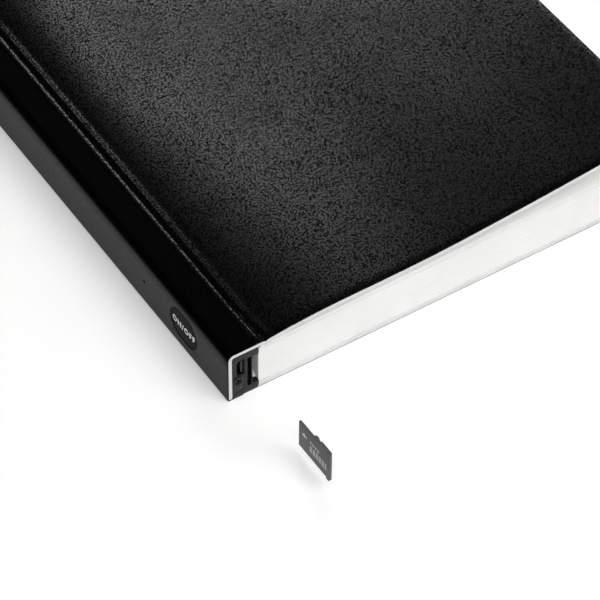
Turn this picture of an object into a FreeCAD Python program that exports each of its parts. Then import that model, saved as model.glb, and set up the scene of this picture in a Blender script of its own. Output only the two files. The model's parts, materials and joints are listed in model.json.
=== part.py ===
"""A5 notebook whose spine holds a camera module, with a memory card waiting at its slot.

Millimetres. Every piece is drawn from the tail corner of the spine's outer face:
u runs from the spine to the fore edge, v from the tail to the head and w upwards
from the underside of the back cover. Each piece is then placed so that the part's
origin is the centre of the back cover's underside, at X, Y and Z.
"""
import FreeCAD, Part
import math
import os
import Sketcher
from FreeCAD import Rotation, Vector

doc = FreeCAD.newDocument("NotebookCamera")

# The driving sizes

SIZES = [
    ("book_width", "148", "A5, spine face to fore edge"),
    ("book_length", "210", "A5, tail to head"),
    ("skin", "0.4", "leather-look skin on covers and spine"),
    ("cover_board", "1.5", "white core of each cover"),
    ("spine_board", "1.1", "white core round the camera module"),
    ("lining", "0.15", "paper pasted inside each cover"),
    ("paste", "0.02", "film of paste under the front lining"),
    ("spine_round", "2.2", "outer radius of the spine's upper edge"),
    ("corner_round", "7", "corner radius of the covers at the fore edge"),
    ("crease_place", "11.7", "line about which both covers bend"),
    ("crease_slit", "0.3", "gap between the skins on the crease line"),
    ("crease_half", "1.4", "crease line to the stiff board on each side"),
    ("crease_depth", "0.3", "how far the skin dips into the crease"),
    ("crest_place", "35", "soft hump of the resting front cover"),
    ("crest_rise", "1.5", "height of the hump over the crease"),
    ("dip_place", "50", "shallow dip beyond the hump"),
    ("dip_rise", "1.42", "height of the dip over the crease"),
    ("middle_place", "88", "station halfway out along the front cover"),
    ("middle_rise", "3.6", "height of that station over the crease"),
    ("outer_place", "123.7", "station near the fore edge"),
    ("outer_rise", "7.0", "height of that station over the crease"),
    ("curl_rise", "10.1", "lift of the front cover's free edge"),
    ("page_inset", "0.4", "leaves inside the cover's edge"),
    ("section_count", "8", "sewn sections in the block"),
    ("page_puff", "1.3", "how far the leaves rise away from the binding"),
    ("flyleaf", "0.25", "thickness of each end leaf"),
    ("leaf_gap", "0.3", "air round the leaves that turn"),
    ("leaf_setback", "0.9", "crease line to the edge of the leaves that turn"),
    ("glue", "0.9", "binding glue and cloth between module and leaves"),
    ("module_width", "7.7", "camera module, spine board to lid"),
    ("module_height", "16.3", "camera module, underside to top"),
    ("wall", "1.1", "housing walls"),
    ("end_wall", "1.5", "housing wall at the tail"),
    ("edge_round", "0.9", "rounded corners of the housing"),
    ("lid", "1.0", "lid on the page side"),
    ("lid_clearance", "0.1", "lid to housing all round"),
    ("plate_reach", "0.8", "how far the end plate stands past the lid"),
    ("end_cap", "2", "plug at the head end of the housing"),
    ("play", "0.1", "clearance of fitted pieces"),
    ("slip", "0.05", "running clearance of small pins"),
    ("board_face", "5.5", "spine side of the circuit board"),
    ("circuit", "0.8", "thickness of the circuit boards"),
    ("circuit_length", "72", "main circuit board along the spine"),
    ("circuit_margin", "0.3", "circuit board to the housing walls"),
    ("port_centre", "11.6", "charging port's centre height"),
    ("port_tall", "6.0", "charging port's metal shell, height"),
    ("port_wide", "2.7", "charging port's metal shell, width"),
    ("port_deep", "5.6", "charging port's metal shell, depth"),
    ("port_metal", "0.25", "sheet of the charging port's shell"),
    ("port_bevel", "0.7", "bevelled corners of the charging port"),
    ("tongue", "0.6", "contact tongue in the port"),
    ("tongue_back", "0.35", "tongue to the far side of the port"),
    ("tongue_margin", "0.9", "tongue's end to the shell"),
    ("reset_u", "3.3", "reset hole from the spine face"),
    ("reset_w", "6.7", "reset hole's height"),
    ("reset_radius", "0.5", "reset pin's radius"),
    ("reset_travel", "0.25", "reset pin's travel"),
    ("reset_recess", "0.5", "reset pin below the end face"),
    ("rim_radius", "1.6", "raised rim round the reset hole"),
    ("rim_wide", "0.45", "width of the raised rim"),
    ("rim_proud", "0.25", "height of the raised rim"),
    ("led_u", "4.25", "indicator from the spine face"),
    ("led_w", "3.3", "indicator's height"),
    ("led_radius", "0.6", "light pipe's radius"),
    ("slot_u", "7.0", "card slot's centre from the spine face"),
    ("slot_w", "8.55", "card slot's centre height"),
    ("card_thick", "0.7", "memory card"),
    ("card_lip", "0.3", "raised grip ledge on the card"),
    ("card_tall", "11", "memory card's width"),
    ("card_nose", "9.7", "width of the card's contact end"),
    ("card_long", "15", "memory card's length"),
    ("card_shoulder", "6.4", "contact end to the start of the slanted step"),
    ("card_slant", "1.3", "length of the slanted step"),
    ("card_notch_start", "9.0", "contact end to the notch"),
    ("card_notch_long", "1.2", "length of the notch"),
    ("card_notch_deep", "0.6", "depth of the notch"),
    ("card_out", "25.1", "card's nose from the tail end when it is out"),
    ("slot_play", "0.15", "card to slot and socket"),
    ("socket_metal", "0.2", "sheet of the card socket"),
    ("notch_radius", "5.5", "thumb notch between card slot and leaves"),
    ("notch_wall", "0.8", "housing behind the thumb notch"),
    ("button_v", "22.8", "power button's centre from the tail"),
    ("button_w", "8.75", "power button's centre height"),
    ("button_long", "14", "power button along the spine"),
    ("button_tall", "10.5", "power button's height"),
    ("button_travel", "0.5", "power button's travel"),
    ("button_flange", "0.9", "flange that keeps the button in"),
    ("button_plate", "0.5", "thickness of the flange"),
    ("stem_radius", "1.6", "button stem that works the switch"),
    ("switch_side", "6", "power switch, both ways"),
    ("switch_tall", "1.5", "power switch off the circuit board"),
    ("lens_gap", "18", "camera lens beyond the battery"),
    ("lens_w", "9", "camera lens height"),
    ("lens_radius", "1.2", "pinhole window in the spine"),
    ("barrel_radius", "2.6", "lens barrel"),
    ("barrel_bore", "1.1", "light path through the barrel"),
    ("barrel_long", "2.4", "lens barrel along its axis"),
    ("lens_glass", "0.5", "thickness of each glass"),
    ("holder_side", "8", "lens holder, both ways"),
    ("holder_wall", "0.8", "lens holder's walls"),
    ("sensor_side", "4.6", "image sensor, both ways"),
    ("sensor_thick", "0.7", "image sensor"),
    ("camera_board_side", "10.5", "camera circuit board, both ways"),
    ("sound_v", "44", "microphone hole from the tail"),
    ("sound_radius", "0.5", "microphone hole"),
    ("sound_side", "3.5", "microphone, both ways"),
    ("sound_thick", "1.1", "microphone"),
    ("battery_gap", "4.4", "battery beyond the main circuit board"),
    ("battery_long", "72", "battery along the spine"),
    ("battery_thick", "4.2", "battery pouch"),
    ("battery_tall", "12.6", "battery's height"),
    ("battery_round", "1.2", "rounded edges of the battery"),
    ("flex", "0.15", "flat flexible cables"),
    ("flex_wide", "5", "flat flexible cables' width"),
    ("boss_radius", "1.5", "screw bosses in the housing"),
    ("screw_radius", "0.7", "screw shank"),
    ("screw_head", "1.3", "screw head's radius"),
    ("screw_head_deep", "0.6", "screw head's depth"),
    ("screw_long", "4", "screw's length under the head"),
    ("screw_first", "34", "first screw from the tail"),
    ("screw_edge", "3", "screws' height above the housing floor"),
    ("rib_count", "4", "cross ribs that hold the battery"),
    ("rib_thick", "0.8", "thickness of each rib"),
    ("cable_room", "0.9", "way for the camera cable over the ribs"),
    ("dome", "0.08", "spring dome of the power switch"),
    ("processor_v", "21", "processor chip from the tail"),
    ("processor_side", "7", "processor chip, both ways"),
    ("flash_v", "37", "flash chip from the tail"),
    ("flash_side", "5", "flash chip, both ways"),
    ("chip_thick", "0.9", "height of the chips"),
    ("radio_v", "54", "radio module from the tail"),
    ("radio_side", "11", "radio module, both ways"),
    ("radio_thick", "1", "radio module's height"),
    ("can_metal", "0.3", "sheet of the radio's shield can"),
    ("can_room", "0.3", "air between the radio module and its can"),
    ("aerial_long", "14", "printed aerial along the spine"),
    ("aerial_wide", "3", "printed aerial's width"),
]

sheet = doc.addObject("Spreadsheet::Sheet", "Sizes")
for row, (alias, number, meaning) in enumerate(SIZES, start=1):
    sheet.set(f"A{row}", meaning)
    sheet.set(f"B{row}", number)
    sheet.setAlias(f"B{row}", alias)
doc.recompute()

ALIASES = sorted((size[0] for size in SIZES), key=len, reverse=True)


def linked(formula):
    """The formula with each size's alias written as its cell in the sheet."""
    words = []
    word = ""
    for letter in str(formula) + " ":
        if letter.isalnum() or letter == "_":
            word += letter
            continue
        words.append(f"Sizes.{word}" if word in ALIASES else word)
        words.append(letter)
        word = ""
    return "".join(words).strip()


def number(formula):
    """The present value of a formula of sizes."""
    return float(sheet.evalExpression(str(formula)))


def bind(thing, formulas):
    """Tie properties of an object to formulas of sizes."""
    for prop, formula in formulas.items():
        thing.setExpression(prop, linked(formula))


# Places shared by several pieces, as formulas of the sizes above

MODULE_U = "(skin + spine_board)"
MODULE_END_U = f"({MODULE_U} + module_width)"
MODULE_W = "skin"
MODULE_TOP = "(skin + module_height)"
BOARD_TOP = f"({MODULE_TOP} + spine_board)"
BOOK_TOP = f"({BOARD_TOP} + skin)"
COVER_UNDER = f"({BOARD_TOP} - cover_board)"
LEAVES_U = f"({MODULE_END_U} + glue)"
LEAVES_END_U = "(book_width - page_inset)"
LEAVES_W = "(skin + cover_board + lining)"
LEAVES_TOP = f"({COVER_UNDER} - lining - paste)"
INSIDE_U = f"({MODULE_U} + wall)"
INSIDE_W = f"({MODULE_W} + wall)"
INSIDE_TOP = f"({MODULE_TOP} - wall)"
LID_U = f"({MODULE_END_U} - lid)"
CIRCUIT_W = f"({INSIDE_W} + circuit_margin)"
CIRCUIT_TOP = f"({INSIDE_TOP} - circuit_margin)"
CIRCUIT_BACK = "(board_face + circuit)"
CIRCUIT_START = "(end_wall + play)"
CIRCUIT_END = f"({CIRCUIT_START} + circuit_length)"
BATTERY_START = f"({CIRCUIT_END} + battery_gap)"
BATTERY_END = f"({BATTERY_START} + battery_long)"
LENS_V = f"({BATTERY_END} + lens_gap)"


# Small tools that draw in u, v and w

STARTS = {}


def block(name, low, high):
    """A box between two corners."""
    box = doc.addObject("Part::Box", name)
    STARTS[box.Name] = low
    for prop, axis, start, end in zip(("Length", "Width", "Height"), "xyz", low, high):
        bind(box, {prop: f"({end}) - ({start})", f"Placement.Base.{axis}": start})
    return box


TURNED = {"u": Rotation(Vector(0, 1, 0), 90), "v": Rotation(Vector(1, 0, 0), -90), "w": Rotation()}


def rod(name, along, start, radius, length):
    """A round bar that starts at a point and runs along one axis."""
    bar = doc.addObject("Part::Cylinder", name)
    STARTS[bar.Name] = start
    bar.Placement = FreeCAD.Placement(Vector(), TURNED[along])
    bind(bar, {"Radius": radius, "Height": length})
    bind(bar, dict(zip(("Placement.Base.x", "Placement.Base.y", "Placement.Base.z"), start)))
    return bar


def minus(name, base, tools):
    """A piece with one or more tools cut out of it."""
    tool = tools[0] if len(tools) == 1 else plus(f"{name}_tools", tools)
    piece = doc.addObject("Part::Cut", name)
    piece.Base = base
    piece.Tool = tool
    return piece


def plus(name, pieces):
    """Several shapes as one."""
    piece = doc.addObject("Part::MultiFuse", name)
    piece.Shapes = pieces
    return piece


def shared(name, first, second):
    """What two shapes have in common."""
    piece = doc.addObject("Part::Common", name)
    piece.Base = first
    piece.Tool = second
    return piece


def sketch_on(body, role, name, offset):
    """A sketch on one of the body's own planes, moved along its normal."""
    sketch = body.newObject("Sketcher::SketchObject", name)
    plane = next(part for part in body.Origin.OriginFeatures if part.Role == role)
    sketch.AttachmentSupport = [(plane, "")]
    sketch.MapMode = "FlatFace"
    bind(sketch, {"AttachmentOffset.Base.z": offset})
    return sketch


def arc_between(first, last, radius, side):
    """Arc of a circle between two points; side +1 bends left of the way, -1 right."""
    middle = (first + last) * 0.5
    half = (last - first) * 0.5
    left = Vector(-half.y, half.x, 0).normalize()
    reach = math.sqrt(max(radius * radius - half.Length * half.Length, 0))
    centre = middle + left * (reach * side)
    start, end = (first, last) if side > 0 else (last, first)
    angles = [math.atan2(point.y - centre.y, point.x - centre.x) for point in (start, end)]
    return Part.ArcOfCircle(Part.Circle(centre, Vector(0, 0, 1), radius), *angles)


def draw_outline(sketch, stops):
    """A closed outline: each stop is (x, y) or (x, y, radius, side) where an arc leaves it."""
    points = [Vector(number(stop[0]), number(stop[1]), 0) for stop in stops]
    ends = []
    for index, stop in enumerate(stops):
        first, last = points[index], points[(index + 1) % len(points)]
        if len(stop) == 2:
            edge = sketch.addGeometry(Part.LineSegment(first, last), False)
            ends.append((edge, 1, 2))
        else:
            edge = sketch.addGeometry(arc_between(first, last, number(stop[2]), stop[3]), False)
            ends.append((edge, 1, 2) if stop[3] > 0 else (edge, 2, 1))
    for index in range(len(ends)):
        edge, _, last = ends[index]
        following, first, _ = ends[(index + 1) % len(ends)]
        sketch.addConstraint(Sketcher.Constraint("Coincident", edge, last, following, first))
    for (edge, first, _), stop, point in zip(ends, stops, points):
        across = sketch.addConstraint(Sketcher.Constraint("DistanceX", -1, 1, edge, first, point.x))
        upward = sketch.addConstraint(Sketcher.Constraint("DistanceY", -1, 1, edge, first, point.y))
        bind(sketch, {f"Constraints[{across}]": stop[0], f"Constraints[{upward}]": stop[1]})
        if len(stop) > 2:
            bend = sketch.addConstraint(Sketcher.Constraint("Radius", edge, number(stop[2])))
            bind(sketch, {f"Constraints[{bend}]": stop[2]})


def pad(name, role, offset, length, stops, backwards=False):
    """A body padded from a closed outline on one of its own planes."""
    body = doc.addObject("PartDesign::Body", name)
    sketch = sketch_on(body, role, f"{name}_outline", offset)
    draw_outline(sketch, stops)
    feature = body.newObject("PartDesign::Pad", f"{name}_pad")
    feature.Profile = (sketch, [""])
    feature.Reversed = backwards
    bind(feature, {"Length": length})
    return body


def section_pad(name, stops, start="0", length="book_length"):
    """An outline in u and w, run along the spine."""
    return pad(name, "XZ_Plane", f"-({start})", length, stops, backwards=True)


def side_pad(name, stops, start, length):
    """An outline in v and w, run away from the spine face."""
    return pad(name, "YZ_Plane", start, length, stops)


def plan_pad(name, stops, start, length):
    """An outline in u and v, run upwards."""
    return pad(name, "XY_Plane", start, length, stops)


def rectangle(x_low, y_low, x_high, y_high):
    """Four stops of a rectangle."""
    return [(x_low, y_low), (x_high, y_low), (x_high, y_high), (x_low, y_high)]


def rounded(x_low, y_low, x_high, y_high, radius):
    """Eight stops of a rectangle with round corners."""
    r = radius
    return [
        (f"{x_low} + {r}", y_low),
        (f"{x_high} - {r}", y_low, r, 1),
        (x_high, f"{y_low} + {r}"),
        (x_high, f"{y_high} - {r}", r, 1),
        (f"{x_high} - {r}", y_high),
        (f"{x_low} + {r}", y_high, r, 1),
        (x_low, f"{y_high} - {r}"),
        (x_low, f"{y_low} + {r}", r, 1),
    ]


def oval(x, y, long, tall):
    """Six stops of an oval with straight flanks, its long way along x."""
    r = f"(({tall}) / 2)"
    reach = f"((({long}) - ({tall})) / 2)"
    return [
        (f"{x} - {reach}", f"{y} - {r}"),
        (f"{x} + {reach}", f"{y} - {r}", r, 1),
        (f"{x} + {reach} + {r}", y, r, 1),
        (f"{x} + {reach}", f"{y} + {r}"),
        (f"{x} - {reach}", f"{y} + {r}", r, 1),
        (f"{x} - {reach} - {r}", y, r, 1),
    ]


NODES = {}


def keep(name, piece):
    """Name a finished piece and place it from the book's corner to the part's origin."""
    piece.Label = name
    start_u, start_v = STARTS.get(piece.Name, ("0", "0"))[:2]
    bind(
        piece,
        {
            "Placement.Base.x": f"{start_u} - book_width / 2",
            "Placement.Base.y": f"{start_v} - book_length / 2",
        },
    )
    NODES[name] = piece
    return piece


# The covers

def cover_plan(name, start_u, inset, low, high):
    """Tall slab in a cover's plan, with round corners at the fore edge."""
    far_u = f"(book_width - {inset})"
    far_v = f"(book_length - {inset})"
    r = "corner_round"
    return plan_pad(
        name,
        [
            (start_u, inset),
            (f"{far_u} - {r}", inset, r, 1),
            (far_u, f"{inset} + {r}"),
            (far_u, f"{far_v} - {r}", r, 1),
            (f"{far_u} - {r}", far_v),
            (start_u, far_v),
        ],
        low,
        f"{high} - ({low})",
    )


def curled_strip(name, start_u, low, high):
    """Slab between two heights over the front cover's resting curve, from start_u outwards."""
    board_u = number("crease_place + crease_half")
    stations = [Vector(board_u, 0, number(BOARD_TOP))]
    for place, rise in (
        ("crest_place", "crest_rise"),
        ("dip_place", "dip_rise"),
        ("middle_place", "middle_rise"),
        ("outer_place", "outer_rise"),
        ("book_width", "curl_rise"),
    ):
        stations.append(Vector(number(place), 0, number(f"{BOARD_TOP} + {rise}")))
    curve = Part.BSplineCurve()
    curve.interpolate(stations)
    under = curve.toShape().translated(Vector(0, 0, number(low)))
    over = curve.toShape().translated(Vector(0, 0, number(high)))
    inner = Part.makeLine(under.Vertexes[0].Point, over.Vertexes[0].Point)
    outer = Part.makeLine(under.Vertexes[-1].Point, over.Vertexes[-1].Point)
    face = Part.Face(Part.Wire([under, outer, over, inner]))
    strip = doc.addObject("Part::Feature", name)
    strip.Shape = face.extrude(Vector(0, number("book_length"), 0))
    if number(start_u) > board_u:
        trim = Part.makeBox(number(start_u), number("2 * book_length"), number("10 * module_height"))
        strip.Shape = strip.Shape.cut(trim)
    return strip


def front_cover():
    """Skin, white core and pasted lining of the front cover, resting on its curl."""
    crease_u = "(crease_place + crease_slit / 2)"
    board_u = "(crease_place + crease_half)"
    tall = f"(2 * {BOOK_TOP} + curl_rise)"
    dip_top = f"({BOOK_TOP} - crease_depth)"
    hinge_skin = section_pad(
        "front_skin_hinge",
        [
            (crease_u, f"{dip_top} - skin"),
            (board_u, BOARD_TOP),
            (board_u, BOOK_TOP),
            (crease_u, dip_top),
        ],
    )
    skin_plan = cover_plan("front_skin_plan", crease_u, "0", "0", tall)
    skin_strip = curled_strip("front_skin_strip", board_u, "0", "skin")
    skin = shared("front_cover_skin", plus("front_skin_whole", [hinge_skin, skin_strip]), skin_plan)
    keep("front_cover_skin", skin)
    board_plan = cover_plan("front_board_plan", board_u, "0", "0", tall)
    board_strip = curled_strip("front_board_strip", board_u, "-cover_board", "0")
    keep("front_cover_board", shared("front_cover_board", board_strip, board_plan))
    lining_plan = cover_plan("front_lining_plan", board_u, "page_inset", "0", tall)
    paste_w = "(-cover_board - paste)"
    lining_strip = curled_strip("front_lining_strip", board_u, f"{paste_w} - lining", paste_w)
    keep("front_cover_lining", shared("front_cover_lining", lining_strip, lining_plan))


def back_cover():
    """Skin, white core and pasted lining of the back cover, flat on its rest."""
    crease_u = "(crease_place + crease_slit / 2)"
    board_u = "(crease_place + crease_half)"
    core_top = "(skin + cover_board)"
    keep("back_cover_skin", cover_plan("back_cover_skin", crease_u, "0", "0", "skin"))
    keep("back_cover_board", cover_plan("back_cover_board", board_u, "0", "skin", core_top))
    lining = cover_plan("back_cover_lining", board_u, "page_inset", core_top, f"({core_top} + lining)")
    keep("back_cover_lining", lining)


# The spine's wrapping

BUTTON_HOLE = ("button_v", "button_w", "button_long + 2 * play", "button_tall + 2 * play")


def spine_skin():
    """One skin round the module: bottom, spine face, round edge, top band and crease."""
    crease_u = "(crease_place - crease_slit / 2)"
    ridge_u = "(crease_place - crease_half)"
    dip_top = f"({BOOK_TOP} - crease_depth)"
    inner_round = "(spine_round - skin)"
    wrap = section_pad(
        "spine_skin_wrap",
        [
            ("0", "0"),
            (crease_u, "0"),
            (crease_u, "skin"),
            ("skin", "skin"),
            ("skin", f"{BOOK_TOP} - spine_round", inner_round, -1),
            ("spine_round", BOARD_TOP),
            (ridge_u, BOARD_TOP),
            (crease_u, f"{dip_top} - skin"),
            (crease_u, dip_top),
            (ridge_u, BOOK_TOP),
            ("spine_round", BOOK_TOP, "spine_round", 1),
            ("0", f"{BOOK_TOP} - spine_round"),
        ],
    )
    button_hole = side_pad("spine_skin_oval", oval(*BUTTON_HOLE), "-skin", "3 * skin")
    lens_hole = rod("spine_skin_pinhole", "u", ("-skin", LENS_V, "lens_w"), "lens_radius", "3 * skin")
    sound_hole = rod("spine_skin_sound", "u", ("-skin", "sound_v", "slot_w"), "sound_radius", "3 * skin")
    keep("spine_skin", minus("spine_skin", wrap, [button_hole, lens_hole, sound_hole]))


def spine_board():
    """White core of the spine: a wall behind the skin and a roof over the module."""
    ridge_u = "(crease_place - crease_half)"
    outer_round = "(spine_round - skin)"
    wrap = section_pad(
        "spine_board_wrap",
        [
            ("skin", "skin"),
            (MODULE_U, "skin"),
            (MODULE_U, MODULE_TOP),
            (ridge_u, MODULE_TOP),
            (ridge_u, BOARD_TOP),
            ("spine_round", BOARD_TOP, outer_round, 1),
            ("skin", f"{BOOK_TOP} - spine_round"),
        ],
    )
    reach = ("0", f"2 * {MODULE_U}")
    button_hole = side_pad("spine_board_oval", oval(*BUTTON_HOLE), *reach)
    lens_hole = rod("spine_board_pinhole", "u", ("0", LENS_V, "lens_w"), "lens_radius + play", reach[1])
    sound_hole = rod("spine_board_sound", "u", ("0", "sound_v", "slot_w"), "sound_radius", reach[1])
    keep("spine_board", minus("spine_board", wrap, [button_hole, lens_hole, sound_hole]))
    foot_start = (MODULE_END_U, "end_wall + play", "skin")
    foot = block("spine_foot_board", foot_start, (ridge_u, "book_length", "skin + cover_board"))
    keep("spine_foot_board", foot)


# The camera module's housing

PLATE_END_U = f"({MODULE_END_U} + plate_reach)"
NOTCH_U = "(slot_u + (card_thick + card_lip) / 2 + slot_play + socket_metal + play)"
NOTCH_END = "(notch_radius + notch_wall)"
BOSS_GAP = "(boss_radius + 2 * play)"
SCREW_PLACES = [
    ("screw_first", "low"),
    (f"{BATTERY_START} - {BOSS_GAP}", "high"),
    (f"{LENS_V} + camera_board_side / 2 + {BOSS_GAP}", "low"),
]
SCREW_W = {
    "low": f"({MODULE_W} + screw_edge)",
    "high": f"({MODULE_TOP} - screw_edge)",
}


def card_profile(grow, start_v, reach):
    """The card's outline in v and w: narrow nose, slanted step, notch and full body."""
    low = f"(slot_w - card_tall / 2 - {grow})"
    high = f"(slot_w + card_tall / 2 + {grow})"
    nose_top = f"({low} + card_nose + 2 * {grow})"
    step = f"({start_v} - card_shoulder + {grow})"
    notch = f"({start_v} - card_notch_start)"
    return [
        (f"{start_v} - {reach}", low),
        (start_v, low),
        (start_v, nose_top),
        (step, nose_top),
        (f"{step} - card_slant", high),
        (notch, high),
        (notch, f"{high} - card_notch_deep"),
        (f"{notch} - card_notch_long", f"{high} - card_notch_deep"),
        (f"{notch} - card_notch_long", high),
        (f"{start_v} - {reach}", high),
    ]


def housing():
    """Moulded channel, open towards the leaves, with the ports in its tail wall."""
    shell = section_pad(
        "housing_shell",
        [
            (f"{MODULE_U} + edge_round", MODULE_W),
            (MODULE_END_U, MODULE_W),
            (MODULE_END_U, INSIDE_W),
            (INSIDE_U, INSIDE_W),
            (INSIDE_U, INSIDE_TOP),
            (MODULE_END_U, INSIDE_TOP),
            (MODULE_END_U, MODULE_TOP),
            (f"{MODULE_U} + edge_round", MODULE_TOP, "edge_round", 1),
            (MODULE_U, f"{MODULE_TOP} - edge_round"),
            (MODULE_U, f"{MODULE_W} + edge_round", "edge_round", 1),
        ],
    )
    tail = section_pad(
        "housing_tail",
        rounded(MODULE_U, MODULE_W, PLATE_END_U, MODULE_TOP, "edge_round"),
        "0",
        "end_wall",
    )
    notch_block = block(
        "housing_notch_block",
        (NOTCH_U, "end_wall / 2", f"{INSIDE_W} - wall / 2"),
        (MODULE_END_U, NOTCH_END, f"{INSIDE_TOP} + wall / 2"),
    )
    rim = rod("housing_reset_rim", "v", ("reset_u", "-rim_proud", "reset_w"), "rim_radius", "rim_proud + end_wall / 2")
    solids = [shell, tail, notch_block, rim]
    boss_reach = f"{LID_U} - play - {INSIDE_U} + wall / 2"
    for index, (place, level) in enumerate(SCREW_PLACES):
        start = (f"{INSIDE_U} - wall / 2", place, SCREW_W[level])
        solids.append(rod(f"housing_boss_{index}", "u", start, "boss_radius", boss_reach))
    rib_top = f"({LID_U} - play - battery_thick - 3 * play)"
    for index in range(int(number("rib_count"))):
        share = f"{index + 1} * battery_long / (rib_count + 1)"
        rib_v = f"({BATTERY_START} + {share})"
        solids.append(
            block(
                f"housing_rib_{index}",
                (f"{INSIDE_U} - wall / 2", f"{rib_v} - rib_thick / 2", f"{INSIDE_W} - wall / 2"),
                (rib_top, f"{rib_v} + rib_thick / 2", f"{INSIDE_TOP} - cable_room"),
            )
        )
    through = "3 * end_wall"
    port_hole = section_pad(
        "housing_port_hole",
        port_outline("play"),
        "-end_wall",
        through,
    )
    reset_hole = rod("housing_reset_hole", "v", ("reset_u", "-end_wall", "reset_w"), "reset_radius + slip", through)
    led_hole = rod("housing_led_hole", "v", ("led_u", "-end_wall", "led_w"), "led_radius + slip", through)
    slot_half = "(card_thick + card_lip + 2 * slot_play) / 2"
    slot_tall = "(card_tall / 2 + slot_play)"
    slot = block(
        "housing_slot",
        (f"slot_u - {slot_half}", "-end_wall", f"slot_w - {slot_tall}"),
        (f"slot_u + {slot_half}", f"2 * end_wall", f"slot_w + {slot_tall}"),
    )
    rim_dish = rod(
        "housing_rim_dish", "v", ("reset_u", "-2 * rim_proud", "reset_w"), "rim_radius - rim_wide", "2 * rim_proud"
    )
    notch = rod("housing_notch", "u", (NOTCH_U, "0", "slot_w"), "notch_radius", "module_width")
    button_hole = side_pad("housing_oval", oval(*BUTTON_HOLE), MODULE_U, "2 * wall")
    lens_hole = rod("housing_lens_hole", "u", (MODULE_U, LENS_V, "lens_w"), "lens_radius + play", "2 * wall")
    sound_hole = rod("housing_sound", "u", (MODULE_U, "sound_v", "slot_w"), "sound_radius", "2 * wall")
    tools = [port_hole, reset_hole, led_hole, slot, rim_dish, notch, button_hole, lens_hole, sound_hole]
    for index, (place, level) in enumerate(SCREW_PLACES):
        start = (f"{LID_U} - play - screw_long", place, SCREW_W[level])
        tools.append(rod(f"housing_screw_hole_{index}", "u", start, "screw_radius", "screw_long + lid"))
    keep("camera_housing", minus("camera_housing", plus("housing_solid", solids), tools))


def port_outline(grow):
    """The charging port's outline in u and w, standing on edge with two bevelled corners."""
    near = f"(board_face - port_wide - {grow})"
    far = f"(board_face + {grow})"
    low = f"(port_centre - port_tall / 2 - {grow})"
    high = f"(port_centre + port_tall / 2 + {grow})"
    return [
        (f"{near}", f"{low} + port_bevel"),
        (f"{near} + port_bevel", low),
        (far, low),
        (far, high),
        (f"{near} + port_bevel", high),
        (near, f"{high} - port_bevel"),
    ]


def housing_lid():
    """Flat lid that closes the channel on the page side, with countersunk screw seats."""
    plate = block(
        "lid_plate",
        (LID_U, f"{NOTCH_END} + lid_clearance", f"{INSIDE_W} + lid_clearance"),
        (MODULE_END_U, "book_length - end_cap - lid_clearance", f"{INSIDE_TOP} - lid_clearance"),
    )
    tools = []
    for index, (place, level) in enumerate(SCREW_PLACES):
        shank = (f"{LID_U} - lid", place, SCREW_W[level])
        seat = (f"{MODULE_END_U} - screw_head_deep", place, SCREW_W[level])
        tools.append(rod(f"lid_hole_{index}", "u", shank, "screw_radius + play", "3 * lid"))
        tools.append(rod(f"lid_seat_{index}", "u", seat, "screw_head + play", "lid"))
    keep("housing_lid", minus("housing_lid", plate, tools))


def housing_screws():
    """Small flat-headed screws from the lid into the bosses."""
    solids = []
    for index, (place, level) in enumerate(SCREW_PLACES):
        under_head = f"{MODULE_END_U} - screw_head_deep"
        shank_start = f"({LID_U} - play - screw_long)"
        shank = rod(
            f"screw_shank_{index}",
            "u",
            (shank_start, place, SCREW_W[level]),
            "screw_radius",
            f"{under_head} - {shank_start} + screw_head_deep / 2",
        )
        head = rod(f"screw_head_{index}", "u", (under_head, place, SCREW_W[level]), "screw_head", "screw_head_deep")
        solids.append(plus(f"screw_{index}", [shank, head]))
    keep("housing_screws", plus("housing_screws", solids))


def housing_end_cap():
    """Plug that closes the channel at the head: a plate with a tenon inside the walls."""
    plate = section_pad(
        "end_cap_plate",
        rounded(f"{INSIDE_U} + play", f"{INSIDE_W} + play", MODULE_END_U, f"{INSIDE_TOP} - play", "edge_round"),
        "book_length - end_cap",
        "end_cap",
    )
    tenon = section_pad(
        "end_cap_tenon",
        rectangle(f"{INSIDE_U} + wall", f"{INSIDE_W} + wall", f"{LID_U} - play", f"{INSIDE_TOP} - wall"),
        "book_length - 2 * end_cap",
        "1.5 * end_cap",
    )
    keep("housing_end_cap", plus("housing_end_cap", [plate, tenon]))


# The electronics

def main_board():
    """Main circuit board on edge, with a hole round the screw boss that passes it."""
    plate = block(
        "circuit_plate",
        ("board_face", CIRCUIT_START, CIRCUIT_W),
        (CIRCUIT_BACK, CIRCUIT_END, CIRCUIT_TOP),
    )
    place, level = SCREW_PLACES[0]
    start = ("board_face - circuit", place, SCREW_W[level])
    boss_hole = rod("circuit_boss_hole", "u", start, "boss_radius + 2 * play", "3 * circuit")
    keep("main_circuit_board", minus("main_circuit_board", plate, [boss_hole]))


def charging_port():
    """Metal shell of the charging port and the contact tongue inside it."""
    shell = section_pad("port_shell", port_outline("0"), "play", "port_deep")
    bore = section_pad("port_bore", port_outline("-port_metal"), "-play", "port_deep")
    keep("charging_port_shell", minus("charging_port_shell", shell, [bore]))
    near = "(board_face - port_metal - tongue_back - tongue)"
    tongue = block(
        "port_tongue",
        (near, "3 * play", "port_centre - port_tall / 2 + tongue_margin"),
        (f"{near} + tongue", "port_deep - port_metal", "port_centre + port_tall / 2 - tongue_margin"),
    )
    root = block(
        "port_tongue_root",
        (
            "board_face - port_wide + port_metal + port_bevel / 2",
            "port_deep - 4 * port_metal",
            "port_centre - port_tall / 2 + port_metal + port_bevel / 2",
        ),
        (
            "board_face - port_metal",
            "port_deep - port_metal",
            "port_centre + port_tall / 2 - port_metal - port_bevel / 2",
        ),
    )
    keep("charging_port_tongue", plus("charging_port_tongue", [tongue, root]))


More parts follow.
